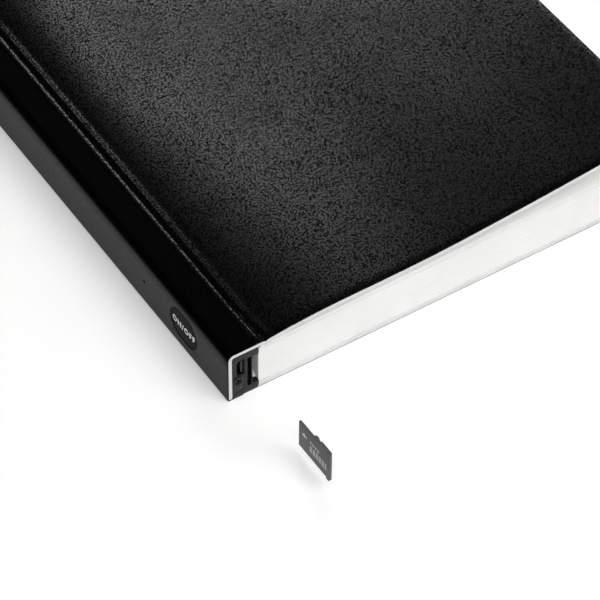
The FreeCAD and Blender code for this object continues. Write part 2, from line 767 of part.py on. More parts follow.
def reset_parts():
    """Reset pin that travels in its hole and the small switch that it works."""
    pin_end = "(end_wall + 2 * play)"
    pin = rod("reset_pin", "v", ("reset_u", "reset_recess", "reset_w"), "reset_radius", f"{pin_end} - reset_recess")
    collar = rod("reset_collar", "v", ("reset_u", "end_wall + play", "reset_w"), "1.2 * reset_radius", "4 * play")
    keep("reset_pin", plus("reset_pin", [pin, collar]))
    switch_v = "(end_wall + 5 * play + reset_travel + slip)"
    case = block(
        "reset_case",
        ("reset_u - reset_radius", switch_v, "reset_w - 2 * reset_radius"),
        ("board_face", f"{switch_v} + 4 * reset_radius", "reset_w + 2 * reset_radius"),
    )
    keep("reset_switch", case)


def indicator():
    """Indicator lamp on the board and the clear pipe that takes its light to the end face."""
    pipe_end = "(end_wall + 2 * led_radius)"
    pipe = rod("light_pipe", "v", ("led_u", "play", "led_w"), "led_radius", f"{pipe_end} - play")
    keep("indicator_light_pipe", pipe)
    lamp = block(
        "indicator_lamp",
        ("led_u - led_radius", f"{pipe_end} + play", "led_w - led_radius"),
        ("board_face", f"{pipe_end} + play + 2 * led_radius", "led_w + led_radius"),
    )
    keep("indicator_lamp", lamp)


def card_socket():
    """Card socket behind the board: plastic base and the folded metal cover over it."""
    half_thick = "(card_thick + card_lip + 2 * slot_play) / 2"
    half_tall = "(card_tall / 2 + slot_play)"
    start = "(end_wall + play)"
    stop = "(card_long + 4 * play)"
    cover = section_pad(
        "socket_cover",
        [
            (CIRCUIT_BACK, f"slot_w - {half_tall} - socket_metal"),
            (f"slot_u + {half_thick} + socket_metal", f"slot_w - {half_tall} - socket_metal"),
            (f"slot_u + {half_thick} + socket_metal", f"slot_w + {half_tall} + socket_metal"),
            (CIRCUIT_BACK, f"slot_w + {half_tall} + socket_metal"),
            (CIRCUIT_BACK, f"slot_w + {half_tall}"),
            (f"slot_u + {half_thick}", f"slot_w + {half_tall}"),
            (f"slot_u + {half_thick}", f"slot_w - {half_tall}"),
            (CIRCUIT_BACK, f"slot_w - {half_tall}"),
        ],
        start,
        f"{stop} - {start}",
    )
    keep("card_socket_cover", cover)
    stop_bar = block(
        "socket_stop",
        (CIRCUIT_BACK, f"{stop} - 2 * play", f"slot_w - {half_tall} + slip"),
        (f"slot_u + {half_thick} - slip", f"{stop} + socket_metal", f"slot_w + {half_tall} - slip"),
    )
    keep("card_socket_stop", stop_bar)


def memory_card():
    """Memory card standing on edge before its slot: thin body, grip ledge, contact pads."""
    nose_v = "(-card_out)"
    face_u = "(slot_u - (card_thick + card_lip) / 2 + card_lip)"
    body = side_pad("card_body", card_profile("0", nose_v, "card_long"), face_u, "card_thick")
    ledge = block(
        "card_ledge",
        (f"{face_u} - card_lip", f"{nose_v} - card_long", "slot_w - card_tall / 2"),
        (f"{face_u} + card_thick / 2", f"{nose_v} - card_long + card_notch_long", "slot_w + card_tall / 2"),
    )
    pads = []
    back_u = f"({face_u} + card_thick)"
    for index in range(8):
        low = f"(slot_w - card_tall / 2 + card_notch_deep + {index} * card_nose / 9)"
        pads.append(
            block(
                f"card_pad_{index}",
                (f"{back_u} - slip", f"{nose_v} - 3.4", low),
                (f"{back_u} + slip / 2", f"{nose_v} - 0.5", f"{low} + card_nose / 14"),
            )
        )
    solid = minus("memory_card", plus("card_solid", [body, ledge]), [plus("card_pad_pockets", pads)])
    keep("memory_card", solid)
    keep("memory_card_contacts", plus("memory_card_contacts", pads))


def power_button():
    """Oval button flush with the spine, kept in by its flange, with a stem to the switch."""
    flange_u = f"({INSIDE_U} + play)"
    cap = side_pad(
        "button_cap",
        oval("button_v", "button_w", "button_long", "button_tall"),
        "play",
        f"{flange_u} - play + button_plate / 2",
    )
    flange = side_pad(
        "button_flange_plate",
        oval("button_v", "button_w", "button_long + 2 * button_flange", "button_tall + 2 * button_flange"),
        flange_u,
        "button_plate",
    )
    stem_end = "(board_face - dome - button_travel - slip)"
    stem = rod("button_stem", "u", (flange_u, "button_v", "button_w"), "stem_radius", f"{stem_end} - {flange_u}")
    keep("power_button", plus("power_button", [cap, flange, stem]))
    half = "switch_side / 2"
    case = block(
        "switch_case",
        ("board_face - switch_tall", f"button_v - {half}", f"button_w - {half}"),
        ("board_face", f"button_v + {half}", f"button_w + {half}"),
    )
    bore_start = ("board_face - 2 * switch_tall", "button_v", "button_w")
    bore = rod("switch_bore", "u", bore_start, "stem_radius + slip", "3 * switch_tall")
    keep("power_switch", minus("power_switch", case, [bore]))
    keep("switch_dome", rod("switch_dome", "u", ("board_face - dome", "button_v", "button_w"), "stem_radius", "dome"))


def board_chips():
    """Processor, flash chip, radio module under its can, aerial and microphone."""
    chip_w = f"({CIRCUIT_W} + {CIRCUIT_TOP}) / 2"
    for name, side, start in (
        ("processor_chip", "processor_side", "processor_v"),
        ("flash_chip", "flash_side", "flash_v"),
    ):
        chip = block(
            name,
            (CIRCUIT_BACK, start, f"{chip_w} - {side} / 2"),
            (f"{CIRCUIT_BACK} + chip_thick", f"{start} + {side}", f"{chip_w} + {side} / 2"),
        )
        keep(name, chip)
    half = "radio_side / 2"
    module = block(
        "radio_module",
        ("board_face - radio_thick", "radio_v", f"{chip_w} - {half}"),
        ("board_face", "radio_v + radio_side", f"{chip_w} + {half}"),
    )
    keep("radio_module", module)
    room = "can_room"
    sheet_and_room = "(can_room + can_metal)"
    can_outer = block(
        "can_outer",
        (
            f"board_face - radio_thick - {sheet_and_room}",
            f"radio_v - {sheet_and_room}",
            f"{chip_w} - {half} - {sheet_and_room}",
        ),
        ("board_face", f"radio_v + radio_side + {sheet_and_room}", f"{chip_w} + {half} + {sheet_and_room}"),
    )
    can_inner = block(
        "can_inner",
        (f"board_face - radio_thick - {room}", f"radio_v - {room}", f"{chip_w} - {half} - {room}"),
        ("board_face + circuit", f"radio_v + radio_side + {room}", f"{chip_w} + {half} + {room}"),
    )
    keep("radio_shield_can", minus("radio_shield_can", can_outer, [can_inner]))
    aerial = block(
        "radio_aerial",
        (CIRCUIT_BACK, "radio_v", f"{CIRCUIT_TOP} - aerial_wide - play"),
        (f"{CIRCUIT_BACK} + flex", "radio_v + aerial_long", f"{CIRCUIT_TOP} - play"),
    )
    keep("radio_aerial", aerial)
    capsule = block(
        "microphone",
        (f"{INSIDE_U} + play", "sound_v - sound_side / 2", "slot_w - sound_side / 2"),
        (f"{INSIDE_U} + play + sound_thick", "sound_v + sound_side / 2", "slot_w + sound_side / 2"),
    )
    lead = block(
        "microphone_lead",
        (f"{INSIDE_U} + play + sound_thick", "sound_v - flex", "slot_w - flex"),
        ("board_face", "sound_v + flex", "slot_w + flex"),
    )
    keep("microphone", plus("microphone_capsule", [capsule, lead]))


def power_pack():
    """Pouch battery, its foam tape on the lid side and its flexible lead to the board."""
    back_u = f"({LID_U} - play)"
    centre_w = f"(({INSIDE_W} + {INSIDE_TOP}) / 2)"
    foam_u = f"({back_u} - play)"
    cell = section_pad(
        "battery_cell",
        rounded(
            f"({foam_u} - battery_thick)",
            f"({centre_w} - battery_tall / 2)",
            foam_u,
            f"({centre_w} + battery_tall / 2)",
            "battery_round",
        ),
        f"{BATTERY_START} + play",
        "battery_long - 2 * play",
    )
    keep("battery_cell", cell)
    tape = block(
        "battery_tape",
        (foam_u, f"{BATTERY_START} + 5 * play", f"{centre_w} - battery_tall / 3"),
        (back_u, f"{BATTERY_END} - 5 * play", f"{centre_w} + battery_tall / 3"),
    )
    keep("battery_tape", tape)
    lead = block(
        "battery_lead",
        (CIRCUIT_BACK, f"{CIRCUIT_END} - flex_wide", f"{centre_w} - flex_wide / 2"),
        (f"{CIRCUIT_BACK} + flex", f"{BATTERY_START} + play", f"{centre_w} + flex_wide / 2"),
    )
    keep("battery_lead", lead)


def camera():
    """Camera at the pinhole: window, barrel with its glass, holder, sensor, board and cable."""
    window = rod("pinhole_window", "u", ("play", LENS_V, "lens_w"), "lens_radius - slip", "lens_glass")
    keep("pinhole_window", window)
    barrel_u = f"({INSIDE_U} + play)"
    barrel_end = f"({barrel_u} + barrel_long)"
    barrel = rod("barrel_solid", "u", (barrel_u, LENS_V, "lens_w"), "barrel_radius", "barrel_long")
    bore = rod("barrel_hole", "u", (f"{barrel_u} - wall", LENS_V, "lens_w"), "barrel_bore", "barrel_long + 2 * wall")
    keep("lens_barrel", minus("lens_barrel", barrel, [bore]))
    glass = rod("lens_glass", "u", (f"{barrel_u} + play", LENS_V, "lens_w"), "barrel_bore", "lens_glass")
    keep("lens_glass", glass)
    half = "holder_side / 2"
    board_u = f"({barrel_end} + sensor_thick + 5 * play)"
    holder = block(
        "holder_solid",
        (f"{barrel_u} + lens_glass", f"{LENS_V} - {half}", f"lens_w - {half}"),
        (board_u, f"{LENS_V} + {half}", f"lens_w + {half}"),
    )
    seat = rod("holder_seat", "u", (INSIDE_U, LENS_V, "lens_w"), "barrel_radius", "barrel_long + play")
    inner = f"({half} - holder_wall)"
    room = block(
        "holder_room",
        (f"{barrel_end} - slip", f"{LENS_V} - {inner}", f"lens_w - {inner}"),
        (f"{board_u} + wall", f"{LENS_V} + {inner}", f"lens_w + {inner}"),
    )
    keep("lens_holder", minus("lens_holder", holder, [seat, room]))
    side = "sensor_side / 2"
    sensor = block(
        "image_sensor",
        (f"{board_u} - sensor_thick", f"{LENS_V} - {side}", f"lens_w - {side}"),
        (board_u, f"{LENS_V} + {side}", f"lens_w + {side}"),
    )
    keep("image_sensor", sensor)
    edge = "camera_board_side / 2"
    board = block(
        "camera_circuit_board",
        (board_u, f"{LENS_V} - {edge}", f"lens_w - {edge}"),
        (f"{board_u} + circuit", f"{LENS_V} + {edge}", f"lens_w + {edge}"),
    )
    keep("camera_circuit_board", board)
    cable_w = f"({CIRCUIT_TOP} + play / 2)"
    start_v = f"({CIRCUIT_END} - flex_wide)"
    stop_v = f"({LENS_V} - {edge} + flex_wide)"
    run = block(
        "cable_run",
        ("board_face - flex", start_v, cable_w),
        (f"{board_u} + circuit + flex", stop_v, f"{cable_w} + flex"),
    )
    tail_tab = block(
        "cable_tail_tab",
        ("board_face - flex", start_v, f"{cable_w} - flex_wide / 2"),
        ("board_face", f"{start_v} + flex_wide", f"{cable_w} + flex"),
    )
    head_tab = block(
        "cable_head_tab",
        (f"{board_u} + circuit", f"{stop_v} - flex_wide", f"lens_w + {edge} - flex_wide / 2"),
        (f"{board_u} + circuit + flex", stop_v, f"{cable_w} + flex"),
    )
    keep("camera_cable", plus("camera_cable", [run, tail_tab, head_tab]))


def leaf_curve(level):
    """Height curve of the resting leaves at a share of the block, from binding to fore edge."""
    low = number(f"{LEAVES_W} + flyleaf")
    height = low + (number(LEAVES_TOP) - low) * level
    puff = number("page_puff") * level * level
    start = number(LEAVES_U)
    end = number(LEAVES_END_U)
    middle = (start + end) / 2
    stations = [Vector(start, 0, height), Vector(middle, 0, height + puff), Vector(end, 0, height + 0.7 * puff)]
    curve = Part.BSplineCurve()
    curve.interpolate(stations)
    return curve.toShape()


def leaf_strip(name, bottom, top, gap_below="0", gap_above="0"):
    """Leaves between two levels of the block, as wide as the book."""
    under = leaf_curve(bottom).translated(Vector(0, 0, number(gap_below)))
    over = leaf_curve(top).translated(Vector(0, 0, -number(gap_above)))
    inner = Part.makeLine(under.Vertexes[0].Point, over.Vertexes[0].Point)
    outer = Part.makeLine(under.Vertexes[-1].Point, over.Vertexes[-1].Point)
    face = Part.Face(Part.Wire([under, outer, over, inner]))
    strip = doc.addObject("Part::Feature", name)
    strip.Shape = face.extrude(Vector(0, number("book_length"), 0))
    return strip


def stub_limit():
    """Slab that leaves only the bound edge of the section that turns."""
    start = "(crease_place + leaf_setback - leaf_gap / 2)"
    return block("stub_limit", (start, "-page_inset", "-skin"), ("2 * book_width", "2 * book_length", f"3 * {BOOK_TOP}"))


def leaves():
    """The sewn sections, the binding glue, and the end leaves."""
    spread = block(
        "binding_block",
        (MODULE_END_U, "end_wall + play", LEAVES_W),
        (LEAVES_U, "book_length - page_inset", f"{INSIDE_TOP} - leaf_gap"),
    )
    notch = rod("binding_notch", "u", (INSIDE_U, "0", "slot_w"), "notch_radius", LEAVES_U)
    keep("page_binding", minus("page_binding", spread, [notch]))
    block_plan = cover_plan("leaf_plan", LEAVES_U, "page_inset", "0", f"2 * {BOOK_TOP}")
    turning_plan = cover_plan(
        "turning_plan",
        "(crease_place + leaf_setback)",
        "page_inset",
        "0",
        f"2 * {BOOK_TOP}",
    )
    count = int(number("section_count"))
    for index in range(count - 1):
        name = f"page_section_{index + 1}"
        strip = leaf_strip(f"{name}_strip", index / count, (index + 1) / count)
        plan = block_plan if index == 0 else doc.copyObject(block_plan, True)
        keep(name, shared(name, strip, plan))
    stub_plan = minus("stub_plan", doc.copyObject(block_plan, True), [stub_limit()])
    stub_strip = leaf_strip("stub_strip", (count - 1) / count, 1, "0", "leaf_gap / 2")
    keep("turning_section_stub", shared("turning_section_stub", stub_strip, stub_plan))
    last_leaf = leaf_strip("back_flyleaf_strip", 0, 0, "-flyleaf", "0")
    keep("back_flyleaf", shared("back_flyleaf", last_leaf, doc.copyObject(block_plan, True)))
    strip = leaf_strip("turning_strip", (count - 1) / count, 1, "leaf_gap", "flyleaf + leaf_gap")
    keep("turning_section", shared("turning_section", strip, turning_plan))
    end_strip = leaf_strip("flyleaf_strip", 1, 1, "-flyleaf - leaf_gap / 2", "leaf_gap / 2")
    keep("front_flyleaf", shared("front_flyleaf", end_strip, doc.copyObject(turning_plan, True)))


front_cover()
back_cover()
spine_skin()
spine_board()
housing()
housing_lid()
housing_screws()
housing_end_cap()
main_board()
charging_port()
reset_parts()
indicator()
card_socket()
memory_card()
power_button()
board_chips()
power_pack()
camera()
leaves()
doc.recompute()

# Check every object, then write one file per piece

failed = [item.Name for item in doc.Objects if "Invalid" in item.State or "Error" in item.State]
if failed:
    raise RuntimeError(f"objects that did not compute: {failed}")
os.makedirs("parts", exist_ok=True)
for name, piece in NODES.items():
    shape = piece.Shape
    if shape.isNull() or not shape.isValid():
        raise RuntimeError(f"{name} has no valid shape")
    shape.exportStep(f"parts/{name}.step")
    box = shape.BoundBox
    print(
        f"{name}: {len(shape.Solids)} solid(s), {shape.Volume:.2f} mm3, "
        f"x {box.XMin:.2f} {box.XMax:.2f}, y {box.YMin:.2f} {box.YMax:.2f}, z {box.ZMin:.2f} {box.ZMax:.2f}"
    )
print(f"{len(NODES)} pieces written")
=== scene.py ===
# %% [markdown]
# # A notebook that carries a camera in its spine
#
# The object is an A5 notebook in a soft black leather-look cover. Its spine is hollow and holds
# a long camera module: battery, circuit board, lens. At the tail end the module shows a charging
# port, a reset hole and the slot of a memory card, and an oval power button sits in the spine.
#
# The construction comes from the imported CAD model. This script dresses it: soft pieces are
# modelled again as what they are, a skin wrapped round a core and sheets folded into sections,
# and every piece gets a finish made of nodes.

import json
import math
import random

import bmesh
import bpy
import numpy as np
from mathutils import Matrix, Vector, noise

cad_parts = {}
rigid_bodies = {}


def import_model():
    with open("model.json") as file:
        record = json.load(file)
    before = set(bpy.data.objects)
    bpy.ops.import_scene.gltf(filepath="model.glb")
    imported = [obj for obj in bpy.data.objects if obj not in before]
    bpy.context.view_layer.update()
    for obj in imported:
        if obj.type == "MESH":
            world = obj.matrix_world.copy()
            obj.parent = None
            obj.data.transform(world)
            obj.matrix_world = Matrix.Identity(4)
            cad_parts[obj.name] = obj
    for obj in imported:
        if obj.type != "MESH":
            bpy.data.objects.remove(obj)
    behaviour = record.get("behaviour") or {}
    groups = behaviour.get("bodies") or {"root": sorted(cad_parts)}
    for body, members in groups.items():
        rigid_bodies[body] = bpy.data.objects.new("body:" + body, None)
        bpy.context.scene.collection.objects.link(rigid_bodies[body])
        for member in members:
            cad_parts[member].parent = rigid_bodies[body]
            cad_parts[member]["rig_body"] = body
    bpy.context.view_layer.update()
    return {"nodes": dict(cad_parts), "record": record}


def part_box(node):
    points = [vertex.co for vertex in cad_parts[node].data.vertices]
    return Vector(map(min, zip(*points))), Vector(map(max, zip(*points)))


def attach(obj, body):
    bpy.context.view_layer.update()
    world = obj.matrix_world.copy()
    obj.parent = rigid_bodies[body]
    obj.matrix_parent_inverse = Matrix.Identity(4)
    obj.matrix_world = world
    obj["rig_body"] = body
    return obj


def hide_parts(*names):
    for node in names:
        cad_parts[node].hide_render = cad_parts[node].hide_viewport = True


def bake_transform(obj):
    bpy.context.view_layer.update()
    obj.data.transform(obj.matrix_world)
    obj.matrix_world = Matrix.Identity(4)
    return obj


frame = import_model()
nodes = frame["nodes"]

# %% [markdown]
# ## Where things are
#
# A bookbinder measures from the spine and from the tail, so the script does too: u runs from the
# spine face to the fore edge, v from tail to head and w up from the table, all in millimetres.
# The few places that the new pieces share are read from the construction, so they follow it.

# %% Book measures
MM = 0.001
SPINE_X, TAIL_Y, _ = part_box("spine_skin")[0]
BOOK_X, HEAD_Y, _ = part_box("back_cover_skin")[1]
BOOK_WIDTH = (BOOK_X - SPINE_X) / MM
BOOK_LENGTH = (HEAD_Y - TAIL_Y) / MM
BOOK_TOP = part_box("spine_skin")[1].z / MM
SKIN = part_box("back_cover_skin")[1].z / MM
SPINE_ROUND = 2.2
CORNER_ROUND = 7.0


def place(u, v, w):
    """A point in metres from spine, tail and table distances in millimetres."""
    return Vector((SPINE_X + u * MM, TAIL_Y + v * MM, w * MM))


print(f"book {BOOK_WIDTH:.1f} x {BOOK_LENGTH:.1f} mm, spine {BOOK_TOP:.1f} mm high")

# %% [markdown]
# ## Camera
#
# The picture is a close view of the tail corner from the spine side, taken with a long lens from
# above. The viewpoint is given as a turn about the vertical, a height angle and a distance from
# the point looked at, which is how a photographer would set up a tripod again.

# %% Set up the camera
VIEW_TURN = math.radians(-33.273)
VIEW_HEIGHT = math.radians(47.420)
VIEW_ROLL = math.radians(0.546)
VIEW_DISTANCE = 0.843
VIEW_TARGET = Vector((-0.041377, -0.090683, 0.009))
FOCAL_PIXELS = 3037.6
PICTURE_PIXELS = 600

back = Vector(
    (
        math.sin(VIEW_TURN) * math.cos(VIEW_HEIGHT),
        -math.cos(VIEW_TURN) * math.cos(VIEW_HEIGHT),
        math.sin(VIEW_HEIGHT),
    )
)
level = Vector((math.cos(VIEW_TURN), math.sin(VIEW_TURN), 0))
upright = back.cross(level)
right = level * math.cos(VIEW_ROLL) + upright * math.sin(VIEW_ROLL)
up = upright * math.cos(VIEW_ROLL) - level * math.sin(VIEW_ROLL)

lens = bpy.data.cameras.new("Camera")
lens.sensor_width = 36
lens.lens = FOCAL_PIXELS / PICTURE_PIXELS * lens.sensor_width
lens.clip_start = 0.01
camera = bpy.data.objects.new("Camera", lens)
camera.matrix_world = Matrix.Translation(VIEW_TARGET + back * VIEW_DISTANCE) @ Matrix((right, up, back)).transposed().to_4x4()
bpy.context.scene.collection.objects.link(camera)
bpy.context.scene.camera = camera
print(f"lens {lens.lens:.1f} mm at {VIEW_DISTANCE} m")

# %% [markdown]
# ## Finishes from nodes
#
# Every finish starts from what the real surface is and how it was made. Colours are written as a
# designer reads them off a chart, as sRGB hex values, and one function turns them to the linear
# numbers that the renderer works in. One small function adds a node with its links.

# %% Helpers for finishes
def colour(chart):
    """Linear colour of an sRGB hex value such as #1a1a1c."""
    channels = [int(chart[i : i + 2], 16) / 255 for i in (1, 3, 5)]
    return [c / 12.92 if c <= 0.04045 else ((c + 0.055) / 1.055) ** 2.4 for c in channels] + [1]


def add(tree, kind, inputs=None, **settings):
    """A node of one kind; each input is a value or the output that feeds it."""
    node = tree.nodes.new(kind)
    for name, value in settings.items():
        setattr(node, name, value)
    for key, value in (inputs or {}).items():
        if isinstance(value, bpy.types.NodeSocket):
            tree.links.new(value, node.inputs[key])
        else:
            node.inputs[key].default_value = value
    return node


def start_finish(name, sockets):
    """A new material and its shader, with the settings that are the same all over it."""
    material = bpy.data.materials.new(name)
    material.use_nodes = True
    shader = material.node_tree.nodes["Principled BSDF"]
    for socket, value in sockets.items():
        shader.inputs[socket].default_value = value
    return material, material.node_tree, shader


def ramp_between(tree, factor, low, high, dark, light):
    """Colour that runs from dark at the factor's low value to light at its high value."""
    share = add(tree, "ShaderNodeMapRange", {"Value": factor, "From Min": low, "From Max": high})
    inputs = {0: share.outputs["Result"], 6: colour(dark), 7: colour(light)}
    return add(tree, "ShaderNodeMix", inputs, data_type="RGBA").outputs[2]


def value_between(tree, factor, low, high, first, last):
    """Number that runs from first to last while a factor runs from low to high."""
    inputs = {"Value": factor, "From Min": low, "From Max": high, "To Min": first, "To Max": last}
    return add(tree, "ShaderNodeMapRange", inputs).outputs["Result"]


def grained(name, colours, grain, relief, roughness, sockets=None):
    """Moulded, coated or pressed stuff: fine noise of one grain size in colour, gloss and relief.

    grain and relief are in millimetres, and roughness is its lowest and highest value."""
    material, tree, shader = start_finish(name, sockets or {})
    where = add(tree, "ShaderNodeTexCoord").outputs["Object"]
    fine = add(tree, "ShaderNodeTexNoise", {"Vector": where, "Scale": 1 / (grain * MM), "Detail": 3.0})
    broad = add(tree, "ShaderNodeTexNoise", {"Vector": where, "Scale": 0.04 / (grain * MM), "Detail": 2.0})
    both = add(tree, "ShaderNodeMath", {0: fine.outputs["Fac"], 1: broad.outputs["Fac"]}, operation="ADD")
    tone = both.outputs[0]
    tree.links.new(ramp_between(tree, tone, 0.7, 1.3, *colours), shader.inputs["Base Color"])
    tree.links.new(value_between(tree, tone, 0.7, 1.3, *roughness), shader.inputs["Roughness"])
    bump = add(tree, "ShaderNodeBump", {"Height": fine.outputs["Fac"], "Distance": relief * MM})
    tree.links.new(bump.outputs["Normal"], shader.inputs["Normal"])
    return material


# %% [markdown]
# ## Table and light
#
# The notebook lies on a white seamless table. One soft box hangs overhead, one stands in front
# of the tail, and a weak one on the left opens up the shadow beside the spine. A small one stands
# behind the book to the right: the cover mirrors it more and more towards the head, and that slow
# change is what makes black leather look like leather.
#
# A white board on a table renders a shade under white, and far from the lamps it turns grey. Seen
# by the camera, or mirrored in metal and glass, it is lifted by a glow of its own, faint near the
# book and full far away. The glow leaves the shadow and lights nothing else.

# %% Table top
TABLE_SIDE = 12.0
NEAR_LIFT, FAR_LIFT = 0.2, 1.0


def lifted_for_the_eye(material, near, far):
    """Add a glow that only the camera, mirrors and glass see, growing away from the book."""
    tree = material.node_tree
    where = add(tree, "ShaderNodeTexCoord").outputs["Object"]
    away = add(tree, "ShaderNodeVectorMath", {0: where}, operation="LENGTH").outputs["Value"]
    glow = value_between(tree, away, 0.4, 2.2, near, far)
    shader = tree.nodes["Principled BSDF"]
    path = add(tree, "ShaderNodeLightPath").outputs
    mirrored = add(tree, "ShaderNodeMath", {0: path["Is Camera Ray"], 1: path["Is Glossy Ray"]}, operation="MAXIMUM")
    seen = add(tree, "ShaderNodeMath", {0: mirrored.outputs[0], 1: path["Is Transmission Ray"]}, operation="MAXIMUM")
    strength = add(tree, "ShaderNodeMath", {0: seen.outputs[0], 1: glow}, operation="MULTIPLY")
    shader.inputs["Emission Color"].default_value = colour("#ffffff")
    tree.links.new(strength.outputs[0], shader.inputs["Emission Strength"])
    return material


mesh = bpy.data.meshes.new("table_top")
bm = bmesh.new()
bmesh.ops.create_grid(bm, x_segments=1, y_segments=1, size=TABLE_SIDE / 2)
bm.to_mesh(mesh)
bm.free()
table_top = bpy.data.objects.new("table_top", mesh)
bpy.context.scene.collection.objects.link(table_top)
white_board = grained("White matt board", ("#fafaf9", "#fefefd"), 0.6, 0.005, (0.8, 0.9), {"Specular IOR Level": 0.2})
mesh.materials.append(lifted_for_the_eye(white_board, NEAR_LIFT, FAR_LIFT))

# %% Soft boxes
AIM = Vector((-0.03, -0.03, 0.01))


def soft_box(name, towards, distance, width, height, power):
    """An area light that looks at the book from a direction."""
    light = bpy.data.lights.new(name, "AREA")
    light.shape = "RECTANGLE"
    light.size = width
    light.size_y = height
    light.energy = power
    lamp = bpy.data.objects.new(name, light)
    direction = Vector(towards).normalized()
    lamp.location = AIM + direction * distance
    lamp.rotation_euler = direction.to_track_quat("Z", "Y").to_euler()
    bpy.context.scene.collection.objects.link(lamp)


soft_box("overhead_box", (0.0, -0.3, 1.0), 1.3, 1.4, 1.2, 9.2)
soft_box("left_box", (-1.0, -0.25, 0.75), 1.3, 1.0, 0.8, 1.3)
soft_box("front_box", (0.2, -1.0, 0.7), 1.3, 1.6, 1.2, 10.0)
soft_box("sheen_box", (0.422, 0.688, 0.592), 1.3, 0.45, 0.54, 2.9)

world = bpy.data.worlds.new("Studio")
world.use_nodes = True
world.node_tree.nodes["Background"].inputs["Color"].default_value = colour("#ffffff")
world.node_tree.nodes["Background"].inputs["Strength"].default_value = 0.04
bpy.context.scene.world = world
scene = bpy.context.scene
scene.view_settings.view_transform = "Standard"

# %% [markdown]
# ## Black leather-look skin
#
# The cover stock is a bonded skin: polyurethane on a cloth back, coloured through and embossed
# with a fine calf grain by a steel roll. The tops of the pebbles are polished by the roll and catch
# every light, while the pores between them stay matt and swallow it, so the skin sparkles although
# it is black. Over the spine the hot press has ironed the grain almost flat: the face is evenly
# satin. Towards the top edge of the spine face the shine dies away, and on the band over the top
# it is almost gone: this is painted shade, standing for the dark that these faces mirror.
#
# The grain is laid out on the flat skin, before it is wrapped, so the finishes read the piece's
# own flat map, which holds millimetres.

# %% Skin finishes
PEBBLE = 0.6


def skin_finish(name, colours, relief, roughness, shine, shade_span=None):
    """Polyurethane skin with shiny pebble tops among matt pores.

    relief is in millimetres. roughness and shine run from the pores to the tops. The shine may die
    away over a stretch of the flat skin, given in millimetres along it: painted shade."""
    material, tree, shader = start_finish(name, {"IOR": 1.5})
    flat = add(tree, "ShaderNodeUVMap", uv_map="flat").outputs["UV"]
    grain = add(tree, "ShaderNodeTexNoise", {"Vector": flat, "Scale": 1.3 / PEBBLE, "Detail": 0.5})
    cell = add(tree, "ShaderNodeTexVoronoi", {"Vector": flat, "Scale": 1 / PEBBLE, "Randomness": 0.9})
    pebble = add(tree, "ShaderNodeMath", {0: cell.outputs["Distance"], 1: -0.45, 2: grain.outputs["Fac"]}, operation="MULTIPLY_ADD")
    cloud = add(tree, "ShaderNodeTexNoise", {"Vector": flat, "Scale": 0.05, "Detail": 4.0})
    height = add(tree, "ShaderNodeMath", {0: cloud.outputs["Fac"], 1: 0.1, 2: pebble.outputs[0]}, operation="MULTIPLY_ADD")
    top = height.outputs[0]
    tree.links.new(ramp_between(tree, top, 0.2, 0.5, *colours), shader.inputs["Base Color"])
    tree.links.new(value_between(tree, top, 0.2, 0.5, *roughness), shader.inputs["Roughness"])
    gleam = value_between(tree, top, 0.27, 0.43, *shine)
    # Painted shade: over the given stretch the shine dies down to a twentieth, darker towards the top edge of the spine
    # face.
    if shade_span:
        along = add(tree, "ShaderNodeSeparateXYZ", {"Vector": flat}).outputs["X"]
        left = value_between(tree, along, *shade_span, 1.0, 0.05)
        gleam = add(tree, "ShaderNodeMath", {0: gleam, 1: left}, operation="MULTIPLY").outputs[0]
    tree.links.new(gleam, shader.inputs["Specular IOR Level"])
    bump = add(tree, "ShaderNodeBump", {"Height": pebble.outputs[0], "Distance": relief * MM})
    tree.links.new(bump.outputs["Normal"], shader.inputs["Normal"])
    return material


skin_backing = grained("Cotton backing of the skin", ("#dcdcda", "#efefed"), 0.3, 0.03, (0.8, 0.95))
grained_skin = skin_finish("Embossed polyurethane skin", ("#020203", "#060607"), 0.006, (0.24, 0.17), (0.02, 0.42))
# The band is pressed smooth, and its shine is set almost to nothing: painted shade, so it stays as dark as the dark it
# mirrors.
band_skin_painted_shade = skin_finish("Pressed skin of the band with painted shade", ("#020202", "#040405"), 0.008, (0.46, 0.36), (0.006, 0.01))

# %% [markdown]
# ## Flat stock and how it is wrapped
#
# The cover and every folded sheet are cut flat and then bent along a line. The same three steps
# are used here: cut a flat slab with round corners, slice it across so that it can bend, and move
# each slice to its place on a path drawn in u and w. Bending keeps lengths as a real skin would.

# %% Helpers for flat stock
def cut_slab(start, end, low_v, high_v, rounds, stops_across, stops_along=()):
    """A flat sheet at height zero, with some corners rounded and sliced across; thicken gives it depth.

    rounds maps a corner, (0 or 1 across, 0 or 1 along), to its radius."""
    bm = bmesh.new()
    bmesh.ops.create_grid(bm, x_segments=1, y_segments=1, size=0.5)
    bmesh.ops.translate(bm, verts=bm.verts, vec=(0.5, 0.5, 0))
    corners = {(round(v.co.x), round(v.co.y)): v for v in bm.verts}
    bmesh.ops.scale(bm, verts=bm.verts, vec=(end - start, high_v - low_v, 1))
    bmesh.ops.translate(bm, verts=bm.verts, vec=(start, low_v, 0))
    for corner, radius in rounds.items():
        bmesh.ops.bevel(
            bm,
            geom=[corners[corner]],
            offset=radius,
            segments=8,
            profile=0.5,
            affect="VERTICES",
            material=-1,
        )
    for axis, stops in ((0, stops_across), (1, stops_along)):
        normal = (1, 0, 0) if axis == 0 else (0, 1, 0)
        for stop in stops:
            everything = bm.verts[:] + bm.edges[:] + bm.faces[:]
            point = Vector(normal) * stop
            bmesh.ops.bisect_plane(bm, geom=everything, dist=1e-6, plane_co=point, plane_no=normal)
    return bm


